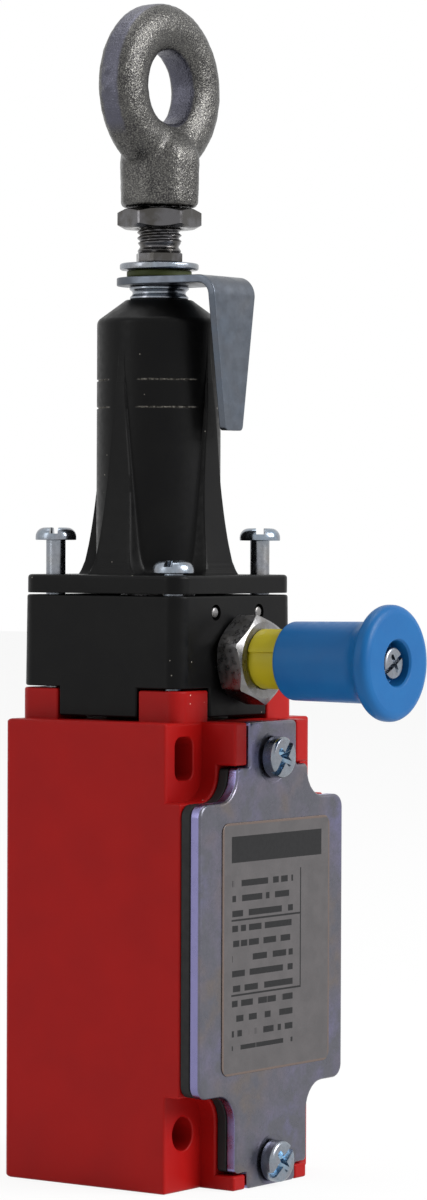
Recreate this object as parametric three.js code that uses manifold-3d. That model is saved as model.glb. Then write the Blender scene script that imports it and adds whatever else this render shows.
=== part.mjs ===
// A latching rope pull switch: a die-cast housing with a contact block, a head with a reset knob,
// and a spring-loaded spindle in a ribbed bell that ends in an eye nut for the rope.
// Millimetres, +Z up, front towards -Y. Heights count from the housing's bottom face and depths from its
// back face; the group at the end moves the origin to the middle of the mounting holes.

import * as THREE from 'three';
import { mergeVertices } from 'three/addons/utils/BufferGeometryUtils.js';
import Module from 'manifold-3d';

const wasm = await Module();
wasm.setup();

// Driving dimensions of the housing
const housing_width = 40;
const housing_depth = 35.7;
const housing_height = 75;
const housing_edge_radius = 1.3;
const wall = 3.5;
const back_wall = 4;
const hole_pitch_x = 30;
const hole_pitch_z = 60;
const hole_height = 9.25;
const hole_diameter = 5.4;
const slot_width = 5.2;
const slot_length = 6.9;
const ledge_depth = 32.8;
const lower_ledge_height = 15.5;
const upper_ledge_drop = 12.6;
const neck_half_width = 10.2;
const neck_fillet = 4.5;
const lug_drop = 6.9;
const lip_height = 2.4;
const conduit_diameter = 18.5;

// Driving dimensions of the front cover
const gasket_thickness = 1.8;
const cover_thickness = 2;
const cover_corner_radius = 2.2;
const ear_half_width = 6.6;
const cover_screw_rise = 3.9;
const cover_screw_drop = 5.8;
const plate_width = 30;
const plate_height = 40.4;
const plate_offset = 0.9;
const plate_rise = 18.7;
const plate_thickness = 0.15;

// Driving dimensions of the head
const axis_depth = 16.3;
const head_half = 16.3;
const head_corner_radius = 3;
const head_draft = 0.012;
const tab_height = 5;
const tab_inset = 8.2;
const head_height = 20.5;
const flange_thickness = 3;
const flange_half = 16.1;
const head_screw_offset = 12;
const head_screw_length = 25;
const head_screw_raise = 5.3;
const head_cavity_radius = 13;
const head_floor_rise = 7.3;
const head_floor_thickness = 2.5;
const seal_groove_radius = 13.6;
const seal_groove_width = 1.4;

// Driving dimensions of the bell
const bell_radius = 10.2;
const bell_height = 45.1;
const bell_shoulder_drop = 3.6;
const bell_neck_radius = 5.1;
const bell_bore_radius = 8.4;
const bell_roof = 6.6;
const mark_drops = [17.5, 13];
const mark_depth = 0.35;
const rib_half_width = 1;
const rib_root_half_width = 3.25;
const rib_flare = 14;
const rib_root_reach = 15;
const rib_reach = 11.8;
const rib_top_drop = 8.5;

// Driving dimensions of the reset control
const reset_rise = 9.8;
const nut_flats = 13;
const nut_thickness = 4.9;
const nut_turn = 10;
const sleeve_radius = 4.65;
const sleeve_length = 12.6;
const sleeve_thread_radius = 4.3;
const ramp_height = 0.4;
const knob_gap = 5.8;
const knob_length = 20.1;
const knob_rear_radius = 6.36;
const knob_waist_radius = 6.55;
const knob_rim_radius = 9.3;
const knob_recess_radius = 3.65;
const knob_recess_depth = 3;
const reset_shaft_radius = 1.8;
const reset_travel = 5;
const guide_pin_radius = 0.9;
const guide_pin_spacing = 12;
const guide_pin_drop = 3;
const guide_pin_length = 4;

// Driving dimensions of the spindle and what it carries
const spindle_radius = 3.65;
const spindle_rise = 14.2;
const spacer_radius = 4.7;
const spacer_thickness = 2.1;
const pointer_thickness = 1.3;
const pointer_round = 7;
const pointer_reach = 15.35;
const pointer_bend_half_width = 5.7;
const pointer_tip_half_width = 2.4;
const pointer_tip_drop = 21.6;
const ring_radius = 5.35;
const ring_thickness = 1.1;
const washer_radius = 6.5;
const washer_thickness = 1.1;
const spindle_collar_flats = 7.4;
const spindle_collar_height = 1.7;
const lock_nut_flats = 12.2;
const lock_nut_thickness = 3.2;
const lock_nut_rise = 5.6;
const lock_nut_turn = 36;
const eye_base_radius = 6.45;
const eye_base_height = 10.3;
const eye_ring_radius = 10.05;
const eye_wire_radius = 3.85;
const eye_centre_rise = 19.5;

// Driving dimensions of the mechanism in the head and the bell
const spring_seat_rise = 11.5;
const spring_seat_radius = 7.4;
const main_spring_radius = 6.1;
const main_spring_wire = 1.5;
const cam_radius = 6.2;
const cam_height = 10.6;
const cam_pin_radius = 1;
const plunger_radius = 2;
const head_gasket_radius = 8.6;
const head_gasket_thickness = 1.5;

// Driving dimensions of the contact block
const block_side_gap = 1.5;
const block_rise = 7;
const block_roof_gap = 0.9;
const block_depth = 18.7;
const block_lower_rib = 5.6;
const block_upper_rib = 1.5;
const block_side_wall = 1.7;
const spring_floor = 1.5;
const carrier_half_width = 4.5;
const carrier_depth = 8.4;
const carrier_foot = 1.5;
const carrier_drop = 2.6;
const pocket_height = 8;
const pocket_half_depth = 3.6;
const bridge_end_gap = 1.8;
const bridge_width = 5;
const rivet_radius = 1.2;
const rivet_inset = 5.5;
const rivet_height = 0.8;
const tab_length = 7.8;
const terminal_screw_inset = 4.5;
const terminal_screw_rise = 4.5;
const strip = 0.8;

// Named clearances
const seat = 0.1;
const slip = 0.3;
const thread_gap = 0.1;

// How far a cutting shape runs past the faces that it opens
const past = 5;

// Places that follow from the sizes above
const origin_height = hole_height + hole_pitch_z / 2;
const slot_height = hole_height + hole_pitch_z;
const upper_ledge_height = housing_height - upper_ledge_drop;
const gasket_front = housing_depth + seat + gasket_thickness;
const cover_back = gasket_front + seat;
const cover_front = cover_back + cover_thickness;
const lug_front = cover_front - slip;
const head_bottom = housing_height + tab_height + slip;
const head_floor = housing_height + head_floor_rise;
const flange_bottom = housing_height + head_height;
const flange_top = flange_bottom + flange_thickness;
const bell_top = flange_top + bell_height;
const bell_shoulder = bell_top - bell_shoulder_drop;
const reset_height = housing_height + reset_rise;
const guide_pin_height = flange_bottom - guide_pin_drop;
const nut_back = axis_depth + head_half + slip;
const nut_front = nut_back + nut_thickness;
const knob_back = nut_front + knob_gap;
const knob_front = knob_back + knob_length;
const recess_floor = knob_front - knob_recess_depth;
const pointer_bottom = bell_top + seat + spacer_thickness + seat;
const pointer_top = pointer_bottom + pointer_thickness;
const pointer_tip_height = bell_top - pointer_tip_drop;
const ring_bottom = pointer_top + seat;
const washer_bottom = ring_bottom + ring_thickness + seat;
const spindle_collar_bottom = washer_bottom + washer_thickness + seat;
const lock_nut_bottom = spindle_collar_bottom + lock_nut_rise;
const eye_bottom = lock_nut_bottom + lock_nut_thickness + slip;
const eye_centre = eye_bottom + eye_centre_rise;
const spindle_top = eye_bottom + eye_base_height - 0.8;
const spring_top = bell_top - bell_roof;
const spring_seat_height = flange_top + spring_seat_rise;
const spindle_bottom = housing_height + spindle_rise;
const plunger_top = spindle_bottom - 2 - slip;
const cam_bottom = spindle_bottom - 2;
const block_back = back_wall + slip;
const block_front = block_back + block_depth;
const cavity_half = housing_width / 2 - wall;
const cavity_bottom = lower_ledge_height + wall;
const cavity_top = upper_ledge_height - wall;
const block_half_width = cavity_half - block_side_gap;
const block_bottom = cavity_bottom + block_rise;
const block_top = cavity_top - block_roof_gap;
const lower_pocket = block_bottom + block_lower_rib;
const upper_pocket = block_top - block_upper_rib - pocket_height;
const carrier_bottom = lower_pocket + carrier_foot;
const carrier_top = block_top - carrier_drop;

// Turns a geometry into a solid that can be joined and cut.
function solid(geometry) {
  const bare = geometry.clone();
  bare.deleteAttribute('normal');
  bare.deleteAttribute('uv');
  const merged = mergeVertices(bare, 1e-4);
  const corners = merged.index.array;
  const kept = [];
  for (let i = 0; i < corners.length; i += 3) {
    const [a, b, c] = [corners[i], corners[i + 1], corners[i + 2]];
    if (a !== b && b !== c && c !== a) kept.push(a, b, c);
  }
  return new wasm.Manifold(new wasm.Mesh({
    numProp: 3,
    vertProperties: new Float32Array(merged.attributes.position.array),
    triVerts: new Uint32Array(kept),
  }));
}

// Turns a solid back into a geometry for a mesh.
function surface(body) {
  const mesh = body.getMesh();
  const geometry = new THREE.BufferGeometry();
  geometry.setAttribute('position', new THREE.BufferAttribute(mesh.vertProperties, 3));
  geometry.setIndex(new THREE.BufferAttribute(mesh.triVerts, 1));
  geometry.computeVertexNormals();
  return geometry;
}

function join(first, ...others) {
  return others.reduce((sum, other) => sum.add(other), first);
}

function cut(first, ...others) {
  return others.reduce((rest, other) => rest.subtract(other), first);
}

// An outline drawn in X and Y, raised from one height to another.
function upright(shape, bottom, top, curveSegments = 4) {
  const geometry = new THREE.ExtrudeGeometry(shape, { depth: top - bottom, bevelEnabled: false, curveSegments });
  return solid(geometry.translate(0, 0, bottom));
}

// An outline drawn in X and Z, carried forward from one depth to another.
function forward(shape, back, front, curveSegments = 4) {
  const geometry = new THREE.ExtrudeGeometry(shape, { depth: front - back, bevelEnabled: false, curveSegments });
  return solid(geometry.translate(0, 0, back).rotateX(Math.PI / 2));
}

// An outline drawn in depth and height, carried sideways by its half width on both sides of X = 0.
function sideways(shape, half, curveSegments = 5) {
  const geometry = new THREE.ExtrudeGeometry(shape, { depth: 2 * half, bevelEnabled: false, curveSegments });
  return solid(geometry.translate(0, 0, -half).rotateX(Math.PI / 2).rotateZ(-Math.PI / 2));
}

// A profile of [radius, height] points turned about a vertical line.
function turned(profile, x = 0, depth = 0, sides = 20) {
  const points = profile.map(([radius, height]) => new THREE.Vector2(radius, height));
  const geometry = new THREE.LatheGeometry(points, sides);
  return solid(geometry.rotateX(Math.PI / 2).translate(x, -depth, 0));
}

// A profile of [radius, depth] points turned about a line that runs to the front.
function turnedForward(profile, x, height, sides = 20) {
  const points = profile.map(([radius, depth]) => new THREE.Vector2(radius, depth));
  const geometry = new THREE.LatheGeometry(points, sides);
  return solid(geometry.rotateZ(Math.PI).translate(x, 0, height));
}

function post(radius, bottom, top, x = 0, depth = 0, sides = 12) {
  return turned([[0, bottom], [radius, bottom], [radius, top], [0, top]], x, depth, sides);
}

function rod(radius, back, front, x, height, sides = 12) {
  return turnedForward([[0, back], [radius, back], [radius, front], [0, front]], x, height, sides);
}

// A box given by its X, depth and height limits.
function block(x0, x1, d0, d1, z0, z1) {
  const geometry = new THREE.BoxGeometry(x1 - x0, d1 - d0, z1 - z0);
  return solid(geometry.translate((x0 + x1) / 2, -(d0 + d1) / 2, (z0 + z1) / 2));
}

// A closed outline through corners [u, v, radius], each rounded by its radius.
function rounded(corners) {
  const shape = new THREE.Shape();
  corners.forEach(([u, v, radius], i) => {
    const before = corners[(i + corners.length - 1) % corners.length];
    const after = corners[(i + 1) % corners.length];
    const corner = new THREE.Vector2(u, v);
    const back = new THREE.Vector2(before[0] - u, before[1] - v).normalize();
    const ahead = new THREE.Vector2(after[0] - u, after[1] - v).normalize();
    const angle = Math.acos(back.dot(ahead));
    const reach = radius / Math.tan(angle / 2);
    const start = corner.clone().addScaledVector(back, reach);
    if (i === 0) shape.moveTo(start.x, start.y);
    else shape.lineTo(start.x, start.y);
    if (radius > 0) {
      const middle = back.clone().add(ahead).normalize();
      const centre = corner.clone().addScaledVector(middle, radius / Math.sin(angle / 2));
      const end = corner.clone().addScaledVector(ahead, reach);
      const from = Math.atan2(start.y - centre.y, start.x - centre.x);
      const to = Math.atan2(end.y - centre.y, end.x - centre.x);
      const clockwise = back.x * ahead.y - back.y * ahead.x > 0;
      shape.absarc(centre.x, centre.y, radius, from, to, clockwise);
    }
  });
  shape.closePath();
  return shape;
}

function rectangle(u0, u1, v0, v1, radius = 0) {
  return rounded([[u0, v0, radius], [u1, v0, radius], [u1, v1, radius], [u0, v1, radius]]);
}

function squareAt(half, radius, depth) {
  return rectangle(-half, half, -depth - half, -depth + half, radius);
}

function hexagon(flats, turn) {
  const shape = new THREE.Shape();
  for (let i = 0; i < 6; i += 1) {
    const angle = THREE.MathUtils.degToRad(turn + 60 * i);
    const corner = new THREE.Vector2(Math.cos(angle), Math.sin(angle)).multiplyScalar(flats / Math.sqrt(3));
    if (i === 0) shape.moveTo(corner.x, corner.y);
    else shape.lineTo(corner.x, corner.y);
  }
  shape.closePath();
  return shape;
}

// A round-wire spring that closes on itself only at its flat end faces.
function spring(radius, wire, turns, bottom, top) {
  const points = [];
  const steps = Math.round(turns * 7);
  const low = bottom + wire / 2;
  const high = top - wire / 2;
  for (let i = 0; i <= steps; i += 1) {
    const angle = 2 * Math.PI * turns * i / steps;
    const height = low + (high - low) * i / steps;
    points.push(new THREE.Vector3(radius * Math.cos(angle), radius * Math.sin(angle), height));
  }
  const section = new THREE.Shape();
  section.absarc(0, 0, wire / 2, 0, 2 * Math.PI, false);
  const path = new THREE.CatmullRomCurve3(points);
  return new THREE.ExtrudeGeometry(section, { steps, extrudePath: path, bevelEnabled: false, curveSegments: 3 });
}

// A pan-head screw along a vertical axis through the origin, head up, its underside at height 0.
function panScrew(headRadius, headHeight, stemRadius, length, sides = 12) {
  const crown = headHeight * 0.72;
  const body = turned([
    [0, -length], [stemRadius * 0.8, -length], [stemRadius, -length + stemRadius * 0.5], [stemRadius, 0],
    [headRadius, 0], [headRadius, crown * 0.6], [headRadius * 0.93, crown], [headRadius * 0.7, headHeight],
    [0, headHeight],
  ], 0, 0, sides);
  const slot = headRadius * 0.17;
  const arm = headRadius * 0.5;
  const floor = headHeight * 0.42;
  return cut(
    body,
    block(-slot, slot, -arm, arm, floor, headHeight + 1),
    block(-arm, arm, -slot, slot, floor, headHeight + 1),
  );
}

// The same screw lying along the front axis, head to the front.
function frontScrew(headRadius, headHeight, stemRadius, length, sides) {
  return panScrew(headRadius, headHeight, stemRadius, length, sides).rotate([90, 0, 0]);
}

function moved(body, x, depth, height) {
  return body.translate([x, -depth, height]);
}

// The cover's outline, pulled in all round by an inset: a wide middle, two necks and two narrow ears.
function coverOutline(inset) {
  const wide = housing_width / 2 - inset;
  const neck = neck_half_width - slip - inset;
  const ear = ear_half_width - inset;
  const corner = cover_corner_radius - inset;
  const fillet = neck_fillet + inset;
  const low = lower_ledge_height + inset;
  const high = upper_ledge_height - inset;
  const lip = lip_height + slip + inset;
  const lug = housing_height - lug_drop - slip - inset;
  const right = [
    [ear, inset, 0.8], [ear, lip, 0.5], [neck, lip, 0.6], [neck, low, fillet], [wide, low, corner],
    [wide, high, corner], [neck, high, fillet], [neck, lug, 0.6], [ear, lug, 0.5],
    [ear, housing_height - inset, 0.8],
  ];
  const left = right.map(([x, z, radius]) => [-x, z, radius]).reverse();
  return rounded([...right, ...left]);
}

const cover_screw_heights = [cover_screw_rise, housing_height - cover_screw_drop];
const cover_screw_radius = 1.6;
const head_screw_radius = 1.6;
const earth_screw = { x: cavity_half - 4.5, height: cavity_bottom + 3.1, boss: 3, radius: 1.25 };
const block_screw = {
  x: block_half_width - 2.8, height: block_bottom + 2.8, head: 2.6, radius: 1.4, length: block_depth + 2.2,
};
const head_corners = [[-1, -1], [1, -1], [1, 1], [-1, 1]];

function housing() {
  const half = housing_width / 2;
  const plan = rounded([
    [-half, -housing_depth, 0.5], [half, -housing_depth, 0.5],
    [half, 0, housing_edge_radius], [-half, 0, housing_edge_radius],
  ]);
  let body = upright(plan, 0, housing_height);
  for (const side of [-1, 1]) {
    const outer = side * (half + past);
    const neck = side * neck_half_width;
    const low = rounded([
      [outer, -past, 0], [neck, -past, 0], [neck, lower_ledge_height, neck_fillet],
      [outer, lower_ledge_height, 0],
    ]);
    const high = rounded([
      [outer, housing_height + past, 0], [outer, upper_ledge_height, 0],
      [neck, upper_ledge_height, neck_fillet], [neck, housing_height + past, 0],
    ]);
    const front = housing_depth + past;
    body = cut(body, forward(low, ledge_depth, front), forward(high, ledge_depth, front));
    const ear = side * (ear_half_width + slip);
    const [x0, x1] = [Math.min(ear, neck), Math.max(ear, neck)];
    body = join(
      body,
      block(x0, x1, housing_depth - 1, lug_front, housing_height - lug_drop, housing_height),
      block(x0, x1, housing_depth - 1, lug_front, 0, lip_height),
    );
    const hole_x = side * hole_pitch_x / 2;
    const reach = (slot_length - slot_width) / 2;
    const slot = new THREE.Shape();
    slot.absarc(hole_x, slot_height + reach, slot_width / 2, 0, Math.PI, false);
    slot.absarc(hole_x, slot_height - reach, slot_width / 2, Math.PI, 2 * Math.PI, false);
    slot.closePath();
    body = cut(
      body,
      rod(hole_diameter / 2, -past, housing_depth + past, hole_x, hole_height),
      forward(slot, -past, housing_depth + past, 10),
    );
  }
  const tab_top = housing_height + tab_height;
  const tabs = upright(squareAt(head_half, 2.5, axis_depth), housing_height - 1, tab_top);
  const cross = join(
    block(-tab_inset, tab_inset, -past, housing_depth, housing_height, tab_top + 1),
    block(-half, half, axis_depth - tab_inset, axis_depth + tab_inset, housing_height, tab_top + 1),
  );
  body = join(body, cut(tabs, cross));
  for (const [sx, sy] of head_corners) {
    const x = sx * head_screw_offset;
    const depth = axis_depth - sy * head_screw_offset;
    const bottom = flange_top + slip - head_screw_length - 0.4;
    body = cut(body, post(head_screw_radius + thread_gap, bottom, head_bottom + 1, x, depth, 10));
  }
  body = cut(
    body,
    block(-cavity_half, cavity_half, back_wall, housing_depth + past, cavity_bottom, cavity_top),
    post(conduit_diameter / 2, -past, cavity_bottom + 0.5, 0, axis_depth, 28),
    post(plunger_radius + 2.2, cavity_top - 0.5, housing_height + past, 0, axis_depth),
  );
  const earth = block(
    earth_screw.x - 3, cavity_half, back_wall - 1, back_wall + earth_screw.boss,
    cavity_bottom - 0.5, earth_screw.height + 3,
  );
  body = join(body, earth);
  for (const height of cover_screw_heights) {
    body = cut(body, rod(cover_screw_radius + thread_gap, housing_depth - 7, housing_depth + past, 0, height, 10));
  }
  for (const side of [-1, 1]) {
    const radius = block_screw.radius + thread_gap;
    body = cut(body, rod(radius, 1.4, back_wall + 1, side * block_screw.x, block_screw.height, 10));
  }
  return cut(body, rod(earth_screw.radius + thread_gap, 1.6, back_wall + 5, earth_screw.x, earth_screw.height, 10));
}

function coverGasket() {
  const sheet = forward(coverOutline(0.15), housing_depth + seat, gasket_front, 3);
  const opening = rectangle(-cavity_half + 1, cavity_half - 1, cavity_bottom + 1, cavity_top - 1, 1.5);
  const window = forward(opening, housing_depth - 1, gasket_front + 1);
  const holes = cover_screw_heights.map((height) => (
    rod(cover_screw_radius + slip, housing_depth - 1, gasket_front + 1, 0, height, 10)));
  return cut(sheet, window, ...holes);
}

function frontCover() {
  const edge = 0.6;
  const sheet = forward(coverOutline(0), cover_back, cover_front - edge, 3);
  const face = forward(coverOutline(edge), cover_front - edge - 0.001, cover_front, 3);
  const holes = cover_screw_heights.map((height) => (
    rod(cover_screw_radius + slip, cover_back - 1, cover_front + 1, 0, height, 10)));
  return cut(join(sheet, face), ...holes);
}

function ratingPlate() {
  const outline = rectangle(
    plate_offset - plate_width / 2, plate_offset + plate_width / 2, plate_rise, plate_rise + plate_height, 1.6,
  );
  return forward(outline, cover_front + 0.02, cover_front + 0.02 + plate_thickness);
}

function coverScrew(height) {
  const length = cover_front - housing_depth + 6;
  return moved(frontScrew(3.35, 2.3, cover_screw_radius, length), 0, cover_front + seat, height);
}

function bell() {
  const bottom = flange_bottom;
  const inner = bell_bore_radius;
  const bore = spindle_radius + slip;
  const profile = [[inner, bottom], [bell_radius, bottom]];
  for (const drop of mark_drops) {
    const height = bell_top - drop;
    profile.push(
      [bell_radius, height - mark_depth], [bell_radius - mark_depth, height], [bell_radius, height + mark_depth],
    );
  }
  profile.push(
    [bell_radius, bell_shoulder - 1.2], [bell_radius - 0.3, bell_shoulder - 0.3], [bell_radius - 1, bell_shoulder + 0.4],
    [bell_neck_radius + 0.5, bell_top - 0.2], [bell_neck_radius, bell_top], [bore, bell_top],
    [bore, spring_top], [inner, spring_top], [inner, bottom],
  );
  let body = turned(profile, 0, axis_depth, 28);
  const flange = cut(
    upright(squareAt(flange_half, head_corner_radius, axis_depth), bottom, flange_top),
    post(inner, bottom - 1, flange_top + 1, 0, axis_depth, 28),
  );
  body = join(body, flange);
  const side = new THREE.Shape();
  const root = inner + 0.5;
  const sunk = flange_top - 1;
  const rib_top = bell_shoulder - rib_top_drop;
  const flare_top = flange_top + rib_flare;
  side.moveTo(root, sunk);
  side.lineTo(rib_root_reach + 0.2, sunk);
  side.lineTo(rib_root_reach, flange_top);
  side.bezierCurveTo(
    rib_reach + 1.6, flange_top + 0.3 * rib_flare, rib_reach + 0.2, flange_top + 0.6 * rib_flare,
    rib_reach, flare_top,
  );
  side.lineTo(rib_reach - 0.1, flare_top + 7.5);
  side.lineTo(bell_radius - 0.1, rib_top);
  side.lineTo(root, rib_top);
  side.closePath();
  const front = new THREE.Shape();
  const low = flange_top + rib_flare * 0.35;
  front.moveTo(-rib_root_half_width - 0.6, sunk);
  front.lineTo(rib_root_half_width + 0.6, sunk);
  front.lineTo(rib_root_half_width + 0.4, flange_top);
  front.lineTo(rib_root_half_width, low);
  front.lineTo(rib_half_width, flare_top + 14.7);
  front.lineTo(rib_half_width * 0.6, rib_top);
  front.lineTo(-rib_half_width * 0.6, rib_top);
  front.lineTo(-rib_half_width, flare_top + 14.7);
  front.lineTo(-rib_root_half_width, low);
  front.lineTo(-rib_root_half_width - 0.4, flange_top);
  front.closePath();
  const rib = sideways(side, rib_root_half_width + 1).intersect(forward(front, -rib_root_reach - 1, rib_root_reach + 1));
  for (let quarter = 0; quarter < 4; quarter += 1) {
    body = join(body, rib.rotate([0, 0, 90 * quarter]).translate([0, -axis_depth, 0]));
  }
  const holes = head_corners.map(([sx, sy]) => (
    post(head_screw_radius + slip, bottom - 1, flange_top + 1, sx * head_screw_offset,
      axis_depth - sy * head_screw_offset, 12)));
  return cut(body, ...holes);
}

function headGasket() {
  const bottom = housing_height + seat;
  return ring(head_gasket_radius, plunger_radius + 2.5, bottom, bottom + head_gasket_thickness, 0.1);
}

function headBody() {
  const top = flange_bottom - slip;
  const bottom = housing_height + 0.6;
  const geometry = new THREE.ExtrudeGeometry(
    squareAt(head_half, head_corner_radius, 0),
    { depth: top - bottom, bevelEnabled: false, curveSegments: 4 },
  ).translate(0, 0, bottom);
  const places = geometry.attributes.position;
  for (let i = 0; i < places.count; i += 1) {
    const shrink = head_draft * Math.max(0, places.getZ(i) - head_bottom) / head_half;
    places.setX(i, places.getX(i) * (1 - shrink));
    places.setY(i, places.getY(i) * (1 - shrink));
  }
  let body = solid(geometry.translate(0, -axis_depth, 0));
  const inset = tab_inset - slip;
  const reach = head_half + past;
  for (const [sx, sy] of head_corners) {
    const corner = block(
      sx > 0 ? inset : -reach, sx > 0 ? reach : -inset,
      axis_depth + (sy > 0 ? -reach : inset), axis_depth + (sy > 0 ? -inset : reach),
      housing_height - 1, head_bottom,
    );
    const x = sx * head_screw_offset;
    const depth = axis_depth - sy * head_screw_offset;
    body = cut(body, corner, post(head_screw_radius + slip, head_bottom - 1, top + 1, x, depth, 12));
  }
  const floor_bottom = head_floor - head_floor_thickness;
  body = cut(
    body,
    post(head_cavity_radius, head_floor, top + 1, 0, axis_depth, 24),
    post(head_cavity_radius - 0.6, housing_height - 1, floor_bottom, 0, axis_depth, 24),
  );
  const boss_bottom = housing_height + seat + head_gasket_thickness + seat;
  body = join(body, post(head_gasket_radius + 0.4, boss_bottom, floor_bottom + 0.5, 0, axis_depth, 20));
  const groove = turned([
    [seal_groove_radius, top - 1.2], [seal_groove_radius + seal_groove_width, top - 1.2],
    [seal_groove_radius + seal_groove_width, top + 1], [seal_groove_radius, top + 1],
    [seal_groove_radius, top - 1.2],
  ], 0, axis_depth, 24);
  body = cut(
    body,
    groove,
    post(plunger_radius + slip, housing_height, head_floor + 1, 0, axis_depth, 20),
    rod(sleeve_thread_radius + thread_gap, axis_depth + head_cavity_radius - 2, nut_back + 1, 0, reset_height, 20),
  );
  for (const side of [-1, 1]) {
    const x = side * guide_pin_spacing / 2;
    body = cut(body, rod(guide_pin_radius + thread_gap, axis_depth + 8, nut_back + 1, x, guide_pin_height, 10));
  }
  return body;
}

function resetNut() {
  const reach = nut_flats / Math.sqrt(3);
  const blank = forward(hexagon(nut_flats, 90 + nut_turn), nut_back, nut_front);
  const limit = turnedForward([
    [0, nut_back - 1], [reach + 0.2, nut_back - 1], [reach + 0.2, nut_front - 1],
    [nut_flats / 2 - 0.25, nut_front], [0, nut_front],
  ], 0, 0, 36);
  const chamfered = blank.intersect(limit);
  const bore = rod(sleeve_thread_radius + thread_gap, nut_back - 1, nut_front + 1, 0, 0, 20);
  return moved(cut(chamfered, bore), 0, 0, reset_height);
}

function yellowSleeve() {
  const inner_end = axis_depth + head_cavity_radius - 0.4;
  const step = nut_front + seat;
  const outer_end = step + sleeve_length;
  const shaft_bore = reset_shaft_radius + slip;
  const pocket = 3.4;
  const pocket_floor = inner_end + 5.8;
  const body = turnedForward([
    [shaft_bore, inner_end], [sleeve_thread_radius, inner_end], [sleeve_thread_radius, step],
    [sleeve_radius, step], [sleeve_radius, outer_end], [pocket, outer_end], [pocket, pocket_floor],
    [shaft_bore, pocket_floor], [shaft_bore, inner_end],
  ], 0, reset_height);
  const proud = sleeve_radius + ramp_height;
  const sector = new THREE.Shape();
  const [from, to] = [THREE.MathUtils.degToRad(65), THREE.MathUtils.degToRad(163)];
  sector.moveTo(4 * Math.cos(from), 4 * Math.sin(from));
  sector.absarc(0, 0, proud, from, to, false);
  sector.lineTo(4 * Math.cos(to), 4 * Math.sin(to));
  sector.absarc(0, 0, 4, to, from, true);
  sector.closePath();
  const ramp = forward(sector, step + 0.3, outer_end - 4, 6);
  return join(body, moved(ramp, 0, 0, reset_height));
}

function resetKnob() {
  const bore = sleeve_radius + ramp_height + slip;
  const bore_floor = recess_floor - 4.3;
  const rim = knob_front - 1.5;
  return turnedForward([
    [bore, knob_back], [knob_rear_radius - 0.4, knob_back], [knob_rear_radius, knob_back + 0.4],
    [knob_waist_radius, knob_front - 6], [knob_waist_radius + 0.35, knob_front - 5],
    [knob_waist_radius + 1.1, knob_front - 4], [knob_rim_radius - 0.55, rim - 1.3],
    [knob_rim_radius - 0.1, rim - 0.6],
    [knob_rim_radius, rim], [knob_rim_radius - 0.3, rim + 0.7], [knob_rim_radius - 1.1, knob_front - 0.25],
    [knob_rim_radius - 2.3, knob_front], [knob_recess_radius + 0.4, knob_front], [knob_recess_radius, knob_front - 0.4],
    [knob_recess_radius, recess_floor], [1.25, recess_floor], [1.25, recess_floor - 1.8],
    [reset_shaft_radius + thread_gap, recess_floor - 1.8], [reset_shaft_radius + thread_gap, bore_floor],
    [bore, bore_floor], [bore, knob_back],
  ], 0, reset_height, 24);
}

function knobScrew() {
  return moved(frontScrew(2.35, 1.5, 1, 7.5, 10), 0, recess_floor + seat, reset_height);
}

const slide_front = axis_depth + 9.5;
const slide_half = 5;

function resetShaft() {
  const front = recess_floor - 1.9;
  return turnedForward([
    [0, slide_front + seat], [reset_shaft_radius, slide_front + seat], [reset_shaft_radius, front],
    [1.1, front], [1.1, front - 6.3], [0, front - 6.3],
  ], 0, reset_height, 20);
}

function resetSpring() {
  const back = axis_depth + head_cavity_radius - 0.4 + 5.8 + seat;
  const front = recess_floor - 4.3 - seat;
  const geometry = spring(2.7, 0.6, 7, back, front);
  return solid(geometry.rotateX(Math.PI / 2).translate(0, 0, reset_height));
}

function latchSlide() {
  const slot_half = plunger_radius + 0.6;
  const plate = rectangle(-slide_half, slide_half, -slide_front, -axis_depth + slide_half + 1, 1);
  const slot = rectangle(-slot_half, slot_half, -axis_depth - slot_half - reset_travel, -axis_depth + slot_half, 1);
  return cut(upright(plate, reset_height - 0.8, reset_height + 0.8), upright(slot, reset_height - 2, reset_height + 2));
}

function guidePin(side) {
  const tip = axis_depth + head_half - 0.25;
  return rod(guide_pin_radius, tip - guide_pin_length, tip, side * guide_pin_spacing / 2, guide_pin_height, 10);
}

function spindle() {
  const seat_groove = spring_seat_height - seat;
  const collar_top = spindle_collar_bottom + spindle_collar_height;
  const body = turned([
    [0, spindle_bottom], [spindle_radius - 0.4, spindle_bottom], [spindle_radius, spindle_bottom + 0.4],
    [spindle_radius, seat_groove - 0.9], [spindle_radius - 0.5, seat_groove - 0.9], [spindle_radius - 0.5, seat_groove],
    [spindle_radius, seat_groove], [spindle_radius, collar_top], [spindle_radius - 0.2, collar_top + 0.5],
    [spindle_radius - 0.2, collar_top + 1.2], [spindle_radius, collar_top + 1.6],
    [spindle_radius, spindle_top - 0.5], [spindle_radius - 0.5, spindle_top], [0, spindle_top],
  ], 0, axis_depth, 20);
  const collar = upright(
    rounded(Array.from({ length: 8 }, (_, i) => {
      const angle = Math.PI * (i + 0.5) / 4;
      const reach = spindle_collar_flats / 2 / Math.cos(Math.PI / 8);
      return [reach * Math.cos(angle), reach * Math.sin(angle) - axis_depth, 0];
    })),
    spindle_collar_bottom, collar_top,
  );
  const pin_hole = rod(cam_pin_radius + thread_gap, -8, 8, 0, 0, 10).rotate([0, 0, 90]);
  return cut(join(body, collar), moved(pin_hole, 0, axis_depth, cam_bottom + cam_height - 4));
}

function cam() {
  const bore = spindle_radius + thread_gap;
  const body = turned([
    [0, cam_bottom], [2.6, cam_bottom], [cam_radius, cam_bottom + 5], [cam_radius, cam_bottom + cam_height],
    [bore, cam_bottom + cam_height], [bore, spindle_bottom - seat], [0, spindle_bottom - seat],
  ], 0, axis_depth, 20);
  const pin_hole = rod(cam_pin_radius + thread_gap, -8, 8, 0, 0, 10).rotate([0, 0, 90]);
  return cut(body, moved(pin_hole, 0, axis_depth, cam_bottom + cam_height - 4));
}

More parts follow.
